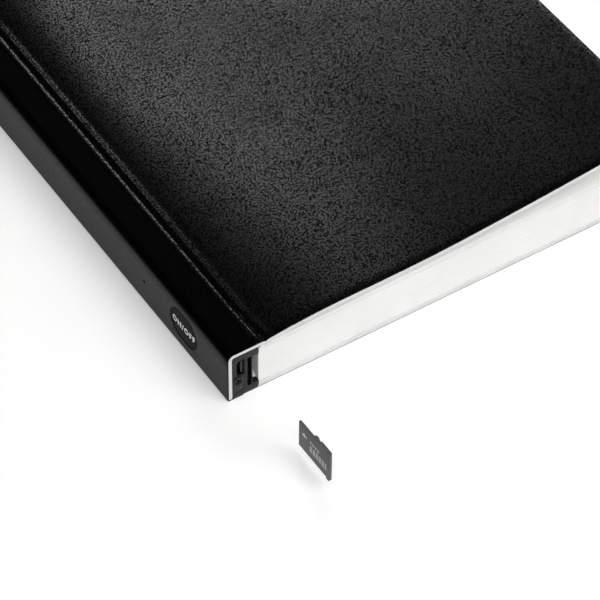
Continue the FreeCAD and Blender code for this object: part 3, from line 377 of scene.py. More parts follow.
def punch(bm, middle, half_clear, long, tall, sides):
    """Cut an oval hole: clear a rectangle of the sheet and bridge its rim to the oval."""
    inside = [
        face
        for face in bm.faces
        if abs(face.calc_center_median().x - middle[0]) < half_clear[0]
        and abs(face.calc_center_median().y - middle[1]) < half_clear[1]
    ]
    bmesh.ops.delete(bm, geom=inside, context="FACES")
    rim = [
        edge
        for edge in bm.edges
        if edge.is_boundary
        and all(abs(v.co.x - middle[0]) < half_clear[0] + 0.01 for v in edge.verts)
        and all(abs(v.co.y - middle[1]) < half_clear[1] + 0.01 for v in edge.verts)
    ]
    ring = oval_loop(bm, middle, long, tall, sides)
    bmesh.ops.bridge_loops(bm, edges=rim + ring)


def oval_loop(bm, middle, long, tall, sides):
    """Edges of an oval with straight flanks, its long way along y."""
    made = bmesh.ops.create_circle(bm, segments=sides, radius=tall / 2)
    verts = made["verts"]
    bmesh.ops.rotate(bm, verts=verts, matrix=Matrix.Rotation(math.pi / sides, 3, "Z"))
    for vert in verts:
        vert.co.y += math.copysign((long - tall) / 2, vert.co.y)
    bmesh.ops.translate(bm, verts=verts, vec=(middle[0], middle[1], 0))
    return list({edge for vert in verts for edge in vert.link_edges})


def thicken(bm, edge_round, segments=2):
    """Give the flat sheet its unit thickness downwards and soften the cut rims."""
    raised = bmesh.ops.extrude_face_region(bm, geom=bm.faces[:])
    lower = [item for item in raised["geom"] if isinstance(item, bmesh.types.BMVert)]
    bmesh.ops.translate(bm, verts=lower, vec=(0, 0, -1))
    bmesh.ops.recalc_face_normals(bm, faces=bm.faces)
    if edge_round:
        bm.normal_update()
        rims = [
            edge
            for edge in bm.edges
            if len(edge.link_faces) == 2 and edge.calc_face_angle(0) > 1.0 and abs(edge.verts[0].co.z - edge.verts[1].co.z) < 1e-6
        ]
        bmesh.ops.bevel(
            bm, geom=rims, offset=edge_round, segments=segments, profile=0.5, affect="EDGES", material=-1, clamp_overlap=True
        )


def note_flat_map(bm):
    """Keep each corner's place on the flat stock, in millimetres, as the map named flat."""
    layer = bm.loops.layers.uv.new("flat")
    for face in bm.faces:
        for loop in face.loops:
            loop[layer].uv = (loop.vert.co.x, loop.vert.co.y)


def wrap(bm, path, thickness, relief=None):
    """Bend the flat slab along a path of (u, w) points and turn it to metres."""
    points = np.array(path, float)
    steps = np.hypot(*np.diff(points, axis=0).T)
    length = np.concatenate(([0], np.cumsum(steps)))
    tangent = np.gradient(points, length, axis=0)
    tangent /= np.linalg.norm(tangent, axis=1)[:, None]
    for vert in bm.verts:
        s, v, depth = vert.co
        u, w, tu, tw = (np.interp(s, length, row) for row in (*points.T, *tangent.T))
        rise = relief(u, w, v) if relief else 0.0
        out = depth * thickness(u, w) + rise * (1 + depth * 0.5)
        vert.co = place(u - tw * out, v, w + tu * out)


def path_length(path):
    """Distances of a path's points from its start."""
    steps = np.hypot(*np.diff(np.array(path, float), axis=0).T)
    return np.concatenate(([0], np.cumsum(steps)))


def arc(centre, radius, start, end, steps):
    """Points (u, w) on an arc; angles in degrees, from the fore edge direction upwards."""
    turns = np.radians(np.linspace(start, end, steps + 1))
    return [(centre[0] + radius * math.cos(t), centre[1] + radius * math.sin(t)) for t in turns]


def finish_piece(bm, name, material, smooth=True):
    """A bmesh as an object in the scene, with its finish."""
    mesh = bpy.data.meshes.new(name)
    if smooth:
        for face in bm.faces:
            face.smooth = True
    bm.to_mesh(mesh)
    bm.free()
    if smooth:
        mesh.set_sharp_from_angle(angle=math.radians(35))
    piece = bpy.data.objects.new(name, mesh)
    bpy.context.scene.collection.objects.link(piece)
    for one in material if isinstance(material, list) else [material]:
        mesh.materials.append(one)
    print(f"{name}: {len(mesh.polygons)} faces")
    return piece


# %% [markdown]
# ## The line that the cover follows
#
# Seen from the tail, the skin runs from under the spine round the lower edge, up the spine face,
# over a soft upper edge, along the top band, down into the pressed crease and out over the front
# cover, which rests lifted because it has been opened often. The cover's own rise is read from the
# construction's skin, whose corner points lie on the drawn curve.

# %% Wrap line
CREASE_U = 11.7
FOLD_START_U = 10.3
FOLD_END_U = 13.1
SEAM_U = 5.0
LOWER_ROUND = 0.5

skin_points = {}
for vert in nodes["front_cover_skin"].data.vertices:
    key = round((vert.co.x - SPINE_X) / MM, 2)
    skin_points[key] = max(skin_points.get(key, 0), vert.co.z / MM)
cover_line = np.array(sorted((u, w) for u, w in skin_points.items() if u >= FOLD_END_U - 0.01))
print(f"{len(cover_line)} points on the cover's line")


def smooth_along(line, u):
    """Height at u of a smooth curve through the points of a line."""
    slopes = np.gradient(line[:, 1], line[:, 0])
    i = int(np.clip(np.searchsorted(line[:, 0], u) - 1, 0, len(line) - 2))
    step = line[i + 1, 0] - line[i, 0]
    t = (u - line[i, 0]) / step
    start, end = line[i, 1], line[i + 1, 1]
    return (
        (2 * t**3 - 3 * t**2 + 1) * start
        + (t**3 - 2 * t**2 + t) * step * slopes[i]
        + (3 * t**2 - 2 * t**3) * end
        + (t**3 - t**2) * step * slopes[i + 1]
    )


COVER_STEPS = np.concatenate((np.arange(FOLD_END_U, 17, 0.25), np.arange(17, BOOK_WIDTH, 3.0), [BOOK_WIDTH]))
BAND_STEPS = np.arange(SPINE_ROUND, FOLD_END_U, 0.25)


SWELL_U, SWELL_WIDE, SWELL_HEIGHT = 52.0, 18.0, 0.4


def cover_rise(u):
    """Height of the skin's outer face over the fold and the front cover, evened by a soft swell."""
    if u <= FOLD_END_U:
        return BOOK_TOP
    return smooth_along(cover_line, u) + SWELL_HEIGHT * math.exp(-(((u - SWELL_U) / SWELL_WIDE) ** 2))


bottom_line = [(u, 0.0) for u in np.arange(BOOK_WIDTH, SEAM_U, -3.0)]
skin_line = (
    [(SEAM_U, 0.0), (2.0, 0.0)]
    + arc((LOWER_ROUND, LOWER_ROUND), LOWER_ROUND, 270, 180, 4)
    + [(0.0, w) for w in np.arange(1.5, BOOK_TOP - SPINE_ROUND, 1.0)]
    + arc((SPINE_ROUND, BOOK_TOP - SPINE_ROUND), SPINE_ROUND, 180, 90, 9)
    + [(u, BOOK_TOP) for u in BAND_STEPS[1:]]
    + [(u, cover_rise(u)) for u in COVER_STEPS]
)
print(f"wrap line of {len(skin_line)} points, {path_length(skin_line)[-1]:.1f} mm long")

# %% [markdown]
# ## The pressed crease
#
# A heated bar presses the skin down between the stiff boards, and the stock swells up beside it:
# a ridge, a narrow groove and a second low swell. The relief is a sum of soft bumps across the
# fold. Close to the cut tail edge the lines run off a little towards the fore edge.

# %% Crease and hand of the leather
CREASE_LINES = ((10.0, 0.95, 0.16), (11.45, 0.42, -0.55), (13.1, 0.9, 0.1))
RUN_OFF = 0.9
RUN_OFF_REACH = 3.0
WAVE_HEIGHT = 0.04


def crease_relief(u, v):
    """Height of the pressed lines over the wrap line, in millimetres."""
    shift = RUN_OFF * math.exp(-max(v, 0) / RUN_OFF_REACH)
    return sum(h * math.exp(-(((u - at - shift) / wide) ** 2)) for at, wide, h in CREASE_LINES)


def skin_relief(u, w, v):
    """Crease and soft waves on the top of the book, nothing on the spine face and underside."""
    if w < BOOK_TOP - 0.5:
        return 0.0
    waves = noise.noise(Vector((u / 24, v / 31, 3.7))) + 0.5 * noise.noise(Vector((u / 9, v / 12, 8.1)))
    return crease_relief(u, v) + WAVE_HEIGHT * waves * min(1, max(0, (u - 15) / 10))


# %% [markdown]
# ## Front skin: underside, spine, crease and front cover in one piece
#
# The real skin is one sheet that goes all the way round. Two hinges act on it, and a bending piece
# can cross one, so it is cut in two where nobody looks, under the spine. The button's oval, the
# pinhole of the camera and the sound hole are punched in the flat sheet, as the real ones are.

# %% Front skin
BUTTON_V, BUTTON_W = 22.8, 8.75
BUTTON_LONG, BUTTON_TALL = 14.0, 10.5
HOLE_PLAY = 0.1
CAMERA_V = ((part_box("pinhole_window")[0].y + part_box("pinhole_window")[1].y) / 2 - TAIL_Y) / MM
CAMERA_W, CAMERA_HOLE = 9.0, 2.4
SOUND_V, SOUND_W, SOUND_HOLE = 44.0, 8.55, 1.0
TOP_DOWN_STEPS = [v for v in np.arange(3, BOOK_LENGTH, 9.0)]
# The first height is where, up the spine face, the painted shade of the top edge begins.
SHADE_START_W, BAND_DROP, BAND_END_U = 12.6, 1.3, 9.1

line_lengths = path_length(skin_line)
face_start = line_lengths[next(i for i, (u, w) in enumerate(skin_line) if u == 0.0 and w >= 1.5)] - 1.5


def punched_holes():
    """Middle on the flat skin, clear rectangle, and size of each hole in the spine face."""
    return (
        ((face_start + BUTTON_W, BUTTON_V), (6.1, 8.2), BUTTON_LONG + 2 * HOLE_PLAY, BUTTON_TALL + 2 * HOLE_PLAY, 56),
        ((face_start + CAMERA_W, CAMERA_V), (1.9, 1.9), CAMERA_HOLE, CAMERA_HOLE, 24),
        ((face_start + SOUND_W, SOUND_V), (1.1, 1.1), SOUND_HOLE, SOUND_HOLE, 16),
    )


hole_stops_s = [m[0] + side * c[0] for m, c, *_ in punched_holes() for side in (-1, 1)]
hole_stops_v = [m[1] + side * c[1] for m, c, *_ in punched_holes() for side in (-1, 1)]
stops = sorted(list(line_lengths[1:-1]) + hole_stops_s)
far_rounds = {(1, 0): CORNER_ROUND, (1, 1): CORNER_ROUND}
bm = cut_slab(0, line_lengths[-1], 0, BOOK_LENGTH, far_rounds, stops, TOP_DOWN_STEPS + hole_stops_v)
for hole in punched_holes():
    punch(bm, *hole)
thicken(bm, 0.12)
note_flat_map(bm)
shade_start = face_start + SHADE_START_W
band_start = line_lengths[next(i for i, (u, w) in enumerate(skin_line) if w > BOOK_TOP - BAND_DROP and u < 3)]
band_end = line_lengths[next(i for i, (u, w) in enumerate(skin_line) if w > BOOK_TOP - 0.1 and u >= BAND_END_U)]
for face in bm.faces:
    along = face.calc_center_median().x
    face.material_index = 2 if along < band_start else 1 if along < band_end else 0
wrap(bm, skin_line, lambda u, w: SKIN, skin_relief)
# The spine face is satin, and its shine dies away towards the top edge: painted shade of the rounded edge.
spine_skin_with_shade = skin_finish(
    "Hot pressed skin of the spine", ("#040405", "#080809"), 0.008, (0.44, 0.38), (0.13, 0.17), (shade_start, band_start)
)
front_skin = finish_piece(bm, "front_skin", [grained_skin, band_skin_painted_shade, spine_skin_with_shade])
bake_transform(front_skin)
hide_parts("spine_skin", "front_cover_skin")

# %% [markdown]
# ## Back skin
#
# The same stock runs flat under the book. It has its own crease on the underside, which lets the
# back cover fold, and it meets the front piece at the hidden seam.

# %% Back skin
def back_relief(u, w, v):
    """The pressed groove under the back crease."""
    return -0.18 * math.exp(-(((u - CREASE_U) / 0.7) ** 2))


back_fold = [(u, 0.0) for u in np.arange(14.5, 9.4, -0.25)]
back_line = [p for p in bottom_line if p[0] > 15] + back_fold + [(7.0, 0.0), (SEAM_U, 0.0)]
back_lengths = path_length(back_line)
near_rounds = {(0, 0): CORNER_ROUND, (0, 1): CORNER_ROUND}
bm = cut_slab(0, back_lengths[-1], 0, BOOK_LENGTH, near_rounds, back_lengths[1:-1], TOP_DOWN_STEPS)
thicken(bm, 0.12)
note_flat_map(bm)
wrap(bm, back_line, lambda u, w: SKIN, back_relief)
bm.normal_update()
for face in bm.faces:
    cut = abs(face.normal.z) < 0.3 and face.calc_area() > 0
    face.material_index = 1 if cut else 0
back_skin = finish_piece(bm, "back_skin", [grained_skin, skin_backing])
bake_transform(back_skin)
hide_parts("back_cover_skin")

# %% [markdown]
# ## White core
#
# Under the skin lies a flexible white core board, a pulp board with a foamed layer, cut flush with
# the skin, so its edge shows as a white line round the tail. It is thinner round the module than
# in the covers. The cut shows short fibres and a slightly crushed texture.

# %% Core finish and pieces
core_finish = grained("Cut pulp board", ("#d9d9d7", "#e9e9e7"), 0.35, 0.04, (0.75, 0.9))

SPINE_CORE = 1.1
COVER_CORE = 1.5


def core_thickness(u, w):
    """Thin round the module, thicker in the covers, with a smooth change under the crease."""
    t = min(1, max(0, (u - FOLD_START_U) / (FOLD_END_U - FOLD_START_U)))
    return SPINE_CORE + (COVER_CORE - SPINE_CORE) * t * t * (3 - 2 * t)


def core_relief(u, w, v):
    """The core gives way under the pressed groove."""
    if w < BOOK_TOP - 1:
        return 0.0
    return 0.8 * min(0, crease_relief(u, v))


inner_round = SPINE_ROUND - SKIN
core_line = (
    [(SKIN, SKIN + 0.02)]
    + [(SKIN, w) for w in np.arange(1.5, BOOK_TOP - SPINE_ROUND, 1.0)]
    + arc((SPINE_ROUND, BOOK_TOP - SPINE_ROUND), inner_round, 180, 90, 9)
    + [(u, BOOK_TOP - SKIN) for u in BAND_STEPS[1:]]
    + [(u, cover_rise(u) - SKIN) for u in COVER_STEPS]
)
core_lengths = path_length(core_line)


def core_holes():
    """The same three holes through the core, measured from the core's foot."""
    foot = core_line[0][1]
    for (_, v), clear, long, tall, sides in punched_holes():
        w = {BUTTON_V: BUTTON_W, CAMERA_V: CAMERA_W, SOUND_V: SOUND_W}[v]
        yield (w - foot, v), clear, long, tall, sides


core_stops_s = [m[0] + side * c[0] for m, c, *_ in core_holes() for side in (-1, 1)]
stops = sorted(list(core_lengths[1:-1]) + core_stops_s)
bm = cut_slab(0, core_lengths[-1], 0.03, BOOK_LENGTH - 0.03, far_rounds, stops, TOP_DOWN_STEPS + hole_stops_v)
for hole in core_holes():
    punch(bm, *hole)
thicken(bm, 0.06)
note_flat_map(bm)
wrap(bm, core_line, core_thickness, core_relief)
front_core = finish_piece(bm, "front_core", core_finish)
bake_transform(front_core)
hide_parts("spine_board", "front_cover_board")

FOOT_U = (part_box("spine_foot_board")[0].x - SPINE_X) / MM
back_core_line = [(u, SKIN) for u, _ in back_line if u > FOOT_U] + [(FOOT_U, SKIN)]
back_core_lengths = path_length(back_core_line)
bm = cut_slab(0, back_core_lengths[-1], 0.03, BOOK_LENGTH - 0.03, near_rounds, back_core_lengths[1:-1], TOP_DOWN_STEPS)
thicken(bm, 0.06)
note_flat_map(bm)
wrap(bm, back_core_line, lambda u, w: COVER_CORE, lambda u, w, v: back_relief(u, w, v) * 0.8)
back_core = finish_piece(bm, "back_core", core_finish)
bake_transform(back_core)
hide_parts("spine_foot_board", "back_cover_board")

# %% [markdown]
# ## Paper and its sections
#
# The block is made of folded sheets, nested into sections and sewn through the fold. A section is
# built the way a binder does: each sheet is cut flat with round corners, folded round the sheet
# inside it, and its two leaves follow the swell of the block. The trimmed edges differ by a few
# hundredths of a millimetre from leaf to leaf, which is what makes a page edge look like paper.

# %% Paper finish
def paper_finish():
    """Uncoated wood-free paper: warm white, fully matt, faint fibre clouds and soft relief."""
    return grained("Uncoated writing paper", ("#f4f4f1", "#fbfbf9"), 0.5, 0.012, (0.85, 0.95), {"Specular IOR Level": 0.25})


paper = paper_finish()

# %% Folded sections
LEAVES_U = (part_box("page_section_1")[0].x - SPINE_X) / MM
LEAVES_END_U = (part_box("page_section_1")[1].x - SPINE_X) / MM
LEAVES_LOW_V = (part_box("page_section_1")[0].y - TAIL_Y) / MM
BLOCK_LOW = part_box("page_section_1")[0].z / MM
SECTION_THICK = (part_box("page_section_2")[0].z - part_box("page_section_1")[0].z) / MM
SECTION_COUNT = 8
BLOCK_THICK = SECTION_COUNT * SECTION_THICK
PAGE_PUFF = 1.3
SHEETS = 8
LEAF_FILL = 0.97
EDGE_STRAY = 0.03
LEAF_STEPS = (10.98, 11.5, 12.2, 13.2, 14.5, 16.0, 18.0, 20.5, 24.0, 30.0, 42.0, 58.0, 75.0, 95.0, 115.0, 132.0, LEAVES_END_U)
spread = random.Random(11)


def leaf_height(share, u):
    """Height of a leaf at a share of the block's thickness: flat at the binding, swelling outwards."""
    t = (u - LEAVES_U) / (LEAVES_END_U - LEAVES_U)
    return BLOCK_LOW + BLOCK_THICK * share + PAGE_PUFF * share * share * (3.3 * t - 2.6 * t * t)


def folded_sheet(bottom, top):
    """One sheet folded at the binding, its two leaves at two shares of the block."""
    fold_u = LEAVES_U + SECTION_THICK / 2
    radius = (leaf_height(top, fold_u) - leaf_height(bottom, fold_u)) / 2
    middle = (leaf_height(top, fold_u) + leaf_height(bottom, fold_u)) / 2
    lower = [(u, leaf_height(bottom, u)) for u in reversed(LEAF_STEPS)]
    upper = [(u, leaf_height(top, u)) for u in LEAF_STEPS]
    path = lower[:-1] + arc((fold_u, middle), radius, 270, 90, 6) + upper[1:]
    lengths = path_length(path)
    trim = spread.uniform(0, EDGE_STRAY)
    low_v = LEAVES_LOW_V + spread.uniform(0, EDGE_STRAY)
    high_v = BOOK_LENGTH - LEAVES_LOW_V - spread.uniform(0, EDGE_STRAY)
    rounds = {corner: CORNER_ROUND for corner in ((0, 0), (0, 1), (1, 0), (1, 1))}
    bm = cut_slab(trim, lengths[-1] - trim, low_v, high_v, rounds, lengths[1:-1])
    thicken(bm, 0)
    note_flat_map(bm)
    leaf = SECTION_THICK / (2 * SHEETS) * LEAF_FILL
    wrap(bm, path, lambda u, w: leaf, lambda u, w, v: leaf / 2)
    return bm


def section_of(bottom, top, sheets):
    """A section of nested sheets between two shares of the block, as one bmesh."""
    whole = bmesh.new()
    whole.loops.layers.uv.new("flat")
    middle = (bottom + top) / 2
    for index in range(sheets):
        reach = (top - bottom) / 2 * (index + 0.5) / sheets
        sheet = folded_sheet(middle - reach, middle + reach)
        mesh = bpy.data.meshes.new("sheet")
        sheet.to_mesh(mesh)
        sheet.free()
        whole.from_mesh(mesh)
        bpy.data.meshes.remove(mesh)
    return whole


for index in range(SECTION_COUNT - 1):
    bm = section_of(index / SECTION_COUNT, (index + 1) / SECTION_COUNT, SHEETS)
    section = finish_piece(bm, f"sewn_section_{index + 1}", paper)
    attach(section, "spine_block")
    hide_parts(f"page_section_{index + 1}")

# %% [markdown]
# ## The section and end leaf that turn with the cover
#
# When the cover opens, the uppermost leaves go with it. They stay sewn at the binding, so the
# real ones bend: still near the fold and fully turned further out. Here both are built lying at rest.

# %% Turning leaves
share_step = 1 / SECTION_COUNT
bm = section_of(1 - share_step * 0.86, 1 - share_step * 0.3, 5)
turning_leaves = finish_piece(bm, "turning_leaves", paper)
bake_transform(turning_leaves)
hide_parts("turning_section", "turning_section_stub")

end_leaf_line = [(u, leaf_height(1, u) - 0.15) for u in LEAF_STEPS]
end_lengths = path_length(end_leaf_line)
bm = cut_slab(0, end_lengths[-1], LEAVES_LOW_V, BOOK_LENGTH - LEAVES_LOW_V, far_rounds, end_lengths[1:-1])
thicken(bm, 0)
note_flat_map(bm)
wrap(bm, end_leaf_line, lambda u, w: 0.22)
end_leaf = finish_piece(bm, "front_end_leaf", paper)
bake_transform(end_leaf)
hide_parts("front_flyleaf")

# %% [markdown]
# ## Pasted linings and the back end leaf
#
# A paper lining is pasted over the turned boards inside each cover, and a single leaf closes the
# block at the back. Each is one flat sheet with the book's round corners, laid on its own line.

# %% Linings and back end leaf
LINING_THICK = 0.15
END_LEAF_THICK = 0.22


def laid_sheet(name, node, line, thickness, rounds):
    """A paper sheet along a line, standing for a construction piece and riding on its body."""
    lengths = path_length(line)
    bm = cut_slab(0, lengths[-1], LEAVES_LOW_V, BOOK_LENGTH - LEAVES_LOW_V, rounds, lengths[1:-1])
    thicken(bm, 0)
    note_flat_map(bm)
    wrap(bm, line, lambda u, w: thickness)
    sheet = finish_piece(bm, name, paper)
    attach(sheet, nodes[node]["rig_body"])
    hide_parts(node)


INSIDE_STEPS = [u for u in COVER_STEPS if FOLD_END_U <= u < LEAVES_END_U] + [LEAVES_END_U]
inside_line = [(u, cover_rise(u) - SKIN - COVER_CORE) for u in INSIDE_STEPS]
laid_sheet("front_lining", "front_cover_lining", inside_line, LINING_THICK, far_rounds)
back_inside_line = [(u, SKIN + COVER_CORE) for u in reversed(INSIDE_STEPS)]
laid_sheet("back_lining", "back_cover_lining", back_inside_line, LINING_THICK, near_rounds)
back_leaf_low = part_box("back_flyleaf")[0].z / MM
back_leaf_line = [(u, back_leaf_low) for u in reversed(LEAF_STEPS)] + [(LEAVES_U, back_leaf_low)]
laid_sheet("back_end_leaf", "back_flyleaf", back_leaf_line, END_LEAF_THICK, near_rounds)

# %% [markdown]
# ## Glued binding
#
# White cold glue is brushed over the sewn folds. It soaks in between the sections, fills the
# valleys between their round backs and bonds the block to the camera housing. A half round is cut
# out of it beside the card slot, where a thumb reaches in to take the card.

# %% Glue over the folds
binding_glue = grained("White binding glue", ("#e4e3de", "#f1f0ec"), 0.7, 0.03, (0.5, 0.65))
GLUE_DEPTH = 0.85
GLUE_INSET = 0.05
NOTCH_RADIUS, NOTCH_W = 5.5, 8.55
glue_low, glue_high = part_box("page_binding")


def standing_plate(bm, outline, start_u, end_u):
    """A plate across the book: a (v, w) outline at one u, drawn out to another."""
    face = bmesh.ops.contextual_create(bm, geom=[bm.verts.new(place(start_u, v, w)) for v, w in outline])["faces"][0]
    made = bmesh.ops.extrude_face_region(bm, geom=[face])
    moved = [item for item in made["geom"] if isinstance(item, bmesh.types.BMVert)]
    bmesh.ops.translate(bm, verts=moved, vec=((end_u - start_u) * MM, 0, 0))


glue_start_v = (glue_low.y - TAIL_Y) / MM
glue_end_v = (glue_high.y - TAIL_Y) / MM
glue_low_w, glue_high_w = glue_low.z / MM, glue_high.z / MM
half_turn = math.degrees(math.acos(glue_start_v / NOTCH_RADIUS))
notch_line = arc((0, NOTCH_W), NOTCH_RADIUS, -half_turn, half_turn, 16)
sides = [(glue_start_v, glue_high_w), (glue_end_v, glue_high_w), (glue_end_v, glue_low_w), (glue_start_v, glue_low_w)]
bm = bmesh.new()
standing_plate(bm, notch_line + sides, (glue_low.x - SPINE_X) / MM, LEAVES_U)
low_v, high_v = LEAVES_LOW_V + GLUE_INSET, BOOK_LENGTH - LEAVES_LOW_V - GLUE_INSET
valleys = [(low_v, BLOCK_LOW), (low_v, glue_high_w), (high_v, glue_high_w), (high_v, BLOCK_LOW)]
standing_plate(bm, valleys, LEAVES_U + GLUE_INSET, LEAVES_U + GLUE_DEPTH)
bmesh.ops.recalc_face_normals(bm, faces=bm.faces)
glue = finish_piece(bm, "binding_glue", binding_glue, smooth=False)
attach(glue, "spine_block")
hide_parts("page_binding")

# %% [markdown]
# ## Power button
#
# A moulded cap lies flush in the oval hole, slightly crowned, with a broken edge, a flange behind
# the spine wall and a stem to the switch. Its words are printed in white.

# %% Button
button_plastic = grained(
    "Soft touch black plastic", ("#020202", "#040405"), 0.25, 0.003, (0.38, 0.46), {"Specular IOR Level": 0.03}
)
print_ink = grained("White printing ink", ("#f8f8f7", "#fefefd"), 0.2, 0.003, (0.5, 0.6))

CROWN = 0.12
FLANGE, FLANGE_U, FLANGE_THICK = 0.9, 2.7, 0.5
STEM_RADIUS = 1.6
button_low, button_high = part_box("power_button")
CAP_FACE_U = (button_low.x - SPINE_X) / MM
STEM_END_U = (button_high.x - SPINE_X) / MM


def oval_slab(bm, long, tall, top, bottom, edge, sides=56, crown=0.0):
    """A closed oval slab between two depths, its upper rim rounded and its top crowned."""
    face = bmesh.ops.contextual_create(bm, geom=oval_loop(bm, (0, 0), long, tall, sides))["faces"][0]
    made = bmesh.ops.extrude_face_region(bm, geom=[face])
    lower = [item for item in made["geom"] if isinstance(item, bmesh.types.BMVert)]
    bmesh.ops.translate(bm, verts=face.verts[:], vec=(0, 0, top))
    bmesh.ops.translate(bm, verts=lower, vec=(0, 0, bottom))
    if edge:
        bmesh.ops.bevel(bm, geom=face.edges[:], offset=edge, segments=3, profile=0.5, affect="EDGES", material=-1)
    if crown:
        upper = max(bm.faces, key=lambda one: (round(one.calc_center_median().z, 4), one.calc_area()))
        rings = [bmesh.ops.inset_region(bm, faces=[upper], thickness=tall / 8) for _ in range(3)]
        for vert in bm.verts:
            if vert.co.z > top - 1e-4:
                reach = min(1, math.hypot(vert.co.x / (tall / 2), vert.co.y / (long / 2)))
                vert.co.z += crown * (1 - reach * reach) * (len(rings) > 0)


def stand_on_spine(bm, v, w, face_u):
    """Turn a piece drawn flat, x upwards and y along the spine, to face out of the spine."""
    for vert in bm.verts:
        x, y, z = vert.co
        vert.co = place(face_u - z, v + y, w + x)
    bmesh.ops.recalc_face_normals(bm, faces=bm.faces)


bm = bmesh.new()
oval_slab(bm, BUTTON_LONG, BUTTON_TALL, 0, CAP_FACE_U - FLANGE_U, 0.18, crown=CROWN)
oval_slab(bm, BUTTON_LONG + 2 * FLANGE, BUTTON_TALL + 2 * FLANGE, CAP_FACE_U - FLANGE_U, CAP_FACE_U - FLANGE_U - FLANGE_THICK, 0)
oval_slab(bm, 2 * STEM_RADIUS, 2 * STEM_RADIUS, CAP_FACE_U - FLANGE_U - FLANGE_THICK / 2, CAP_FACE_U - STEM_END_U, 0, sides=24)
stand_on_spine(bm, BUTTON_V, BUTTON_W, CAP_FACE_U)
button = finish_piece(bm, "oval_button", button_plastic)
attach(button, "power_button")
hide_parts("power_button")

# %% [markdown]
# ## Printed words
#
# ON/OFF is pad printed on the cap. The letters are a text curve with a hair of thickness, made a
# mesh and laid on the crowned face, reading from head to tail as the photograph shows them.

# %% Button lettering
def printed_text(words, size, thickness, bold, spacing):
    """A flat text mesh, centred on its own middle, in millimetres; bold widens each stroke."""
    curve = bpy.data.curves.new("words", "FONT")
    curve.body = words
    curve.size = size
    curve.extrude = thickness / 2
    curve.offset = bold
    curve.space_character = spacing
    curve.resolution_u = 4
    holder = bpy.data.objects.new("words", curve)
    bpy.context.scene.collection.objects.link(holder)
    bpy.context.view_layer.update()
    mesh = bpy.data.meshes.new_from_object(holder)
    bpy.data.objects.remove(holder)
    bpy.data.curves.remove(curve)
    bm = bmesh.new()
    bm.from_mesh(mesh)
    bpy.data.meshes.remove(mesh)
    bmesh.ops.remove_doubles(bm, verts=bm.verts, dist=1e-4)
    low = [min(v.co[i] for v in bm.verts) for i in (0, 1)]
    high = [max(v.co[i] for v in bm.verts) for i in (0, 1)]
    bmesh.ops.translate(bm, verts=bm.verts, vec=(-(low[0] + high[0]) / 2, -(low[1] + high[1]) / 2, 0))
    print(f"{words}: {high[0] - low[0]:.2f} x {high[1] - low[1]:.2f} mm")
    return bm


WORDS_LONG = 11.6
LETTER_TALL = 2.3
bm = printed_text("ON/OFF", 3.2, 0.05, 0.1, 1.25)
long = max(v.co.x for v in bm.verts) * 2
tall = max(v.co.y for v in bm.verts) * 2
bmesh.ops.scale(bm, verts=bm.verts, vec=(WORDS_LONG / long, LETTER_TALL / tall, 1))
for vert in bm.verts:
    x, y, z = vert.co
    reach = math.hypot(y / (BUTTON_TALL / 2), x / (BUTTON_LONG / 2))
    vert.co = place(CAP_FACE_U - CROWN * (1 - reach * reach) - 0.02 - z, BUTTON_V - x, BUTTON_W + y)
words = finish_piece(bm, "button_words", print_ink, smooth=False)
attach(words, "power_button")

# %% [markdown]
# ## Moulded pieces from the construction
#
# The housing and the memory card have the right shape already, but a moulding has no knife
# edges. Each is copied, its loose triangles are merged and flattened, and a fine round is
# bevelled on its sharp edges, which catches the light as the real edges do.

# %% Soften sharp edges of a construction piece
def softened(node, name, finish, edge, sharp=40):
    """A copy of a construction piece with its sharp edges rounded."""
    bm = bmesh.new()
    bm.from_mesh(nodes[node].data)
    bmesh.ops.remove_doubles(bm, verts=bm.verts, dist=1e-6)
    bmesh.ops.dissolve_limit(bm, angle_limit=math.radians(1), verts=bm.verts, edges=bm.edges)
    bm.normal_update()
    rims = [e for e in bm.edges if len(e.link_faces) == 2 and e.calc_face_angle(0) > math.radians(sharp)]
    bmesh.ops.bevel(
        bm,
        geom=rims,
        offset=edge * MM,
        segments=2,
        profile=0.5,
        affect="EDGES",
        material=-1,
        clamp_overlap=True,
    )
    piece = finish_piece(bm, name, finish)
    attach(piece, nodes[node]["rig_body"])
    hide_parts(node)
    return piece


housing_plastic = grained("Spark eroded ABS moulding", ("#0b0b0c", "#131315"), 0.18, 0.012, (0.42, 0.58), {"Specular IOR Level": 0.3})
card_plastic = grained("Transfer moulded card resin", ("#454547", "#515153"), 0.22, 0.004, (0.46, 0.58))
softened("memory_card", "card_body", card_plastic, 0.07)
softened("camera_housing", "module_housing", housing_plastic, 0.06)

# %% [markdown]
# ## Marks on the card
#
# Where the real card is printed, this one has generic marks: an insertion arrow near its nose and
# plain bars in a lighter grey.

# %% Card marks
card_ink = grained("Grey pad printing ink", ("#b4b4b6", "#c4c4c6"), 0.2, 0.003, (0.55, 0.65))
white_ink = grained("White pad printing ink", ("#dededc", "#f0f0ee"), 0.2, 0.003, (0.55, 0.65))
card_low, card_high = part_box("memory_card")
CARD_FACE_U = (card_low.x - SPINE_X) / MM + 0.3
CARD_NOSE_V = (card_high.y - TAIL_Y) / MM
CARD_LOW_W = card_low.z / MM


def card_mark(name, ink, outlines):
    """Printed shapes on the card's label side; each outline is (from nose, from lower edge) points."""
    bm = bmesh.new()
    for outline in outlines:
        verts = [bm.verts.new(place(CARD_FACE_U - 0.004, CARD_NOSE_V - a, CARD_LOW_W + b)) for a, b in outline]
        face = bmesh.ops.contextual_create(bm, geom=verts)["faces"][0]
        made = bmesh.ops.extrude_face_region(bm, geom=[face])
        lifted = [item for item in made["geom"] if isinstance(item, bmesh.types.BMVert)]
        bmesh.ops.translate(bm, verts=lifted, vec=(-0.012 * MM, 0, 0))
    bmesh.ops.recalc_face_normals(bm, faces=bm.faces)
    mark = finish_piece(bm, name, ink, smooth=False)
    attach(mark, "memory_card")


def bar(a, b, long, tall):
    """Corners of a printed bar."""
    return [(a, b), (a + long, b), (a + long, b + tall), (a, b + tall)]


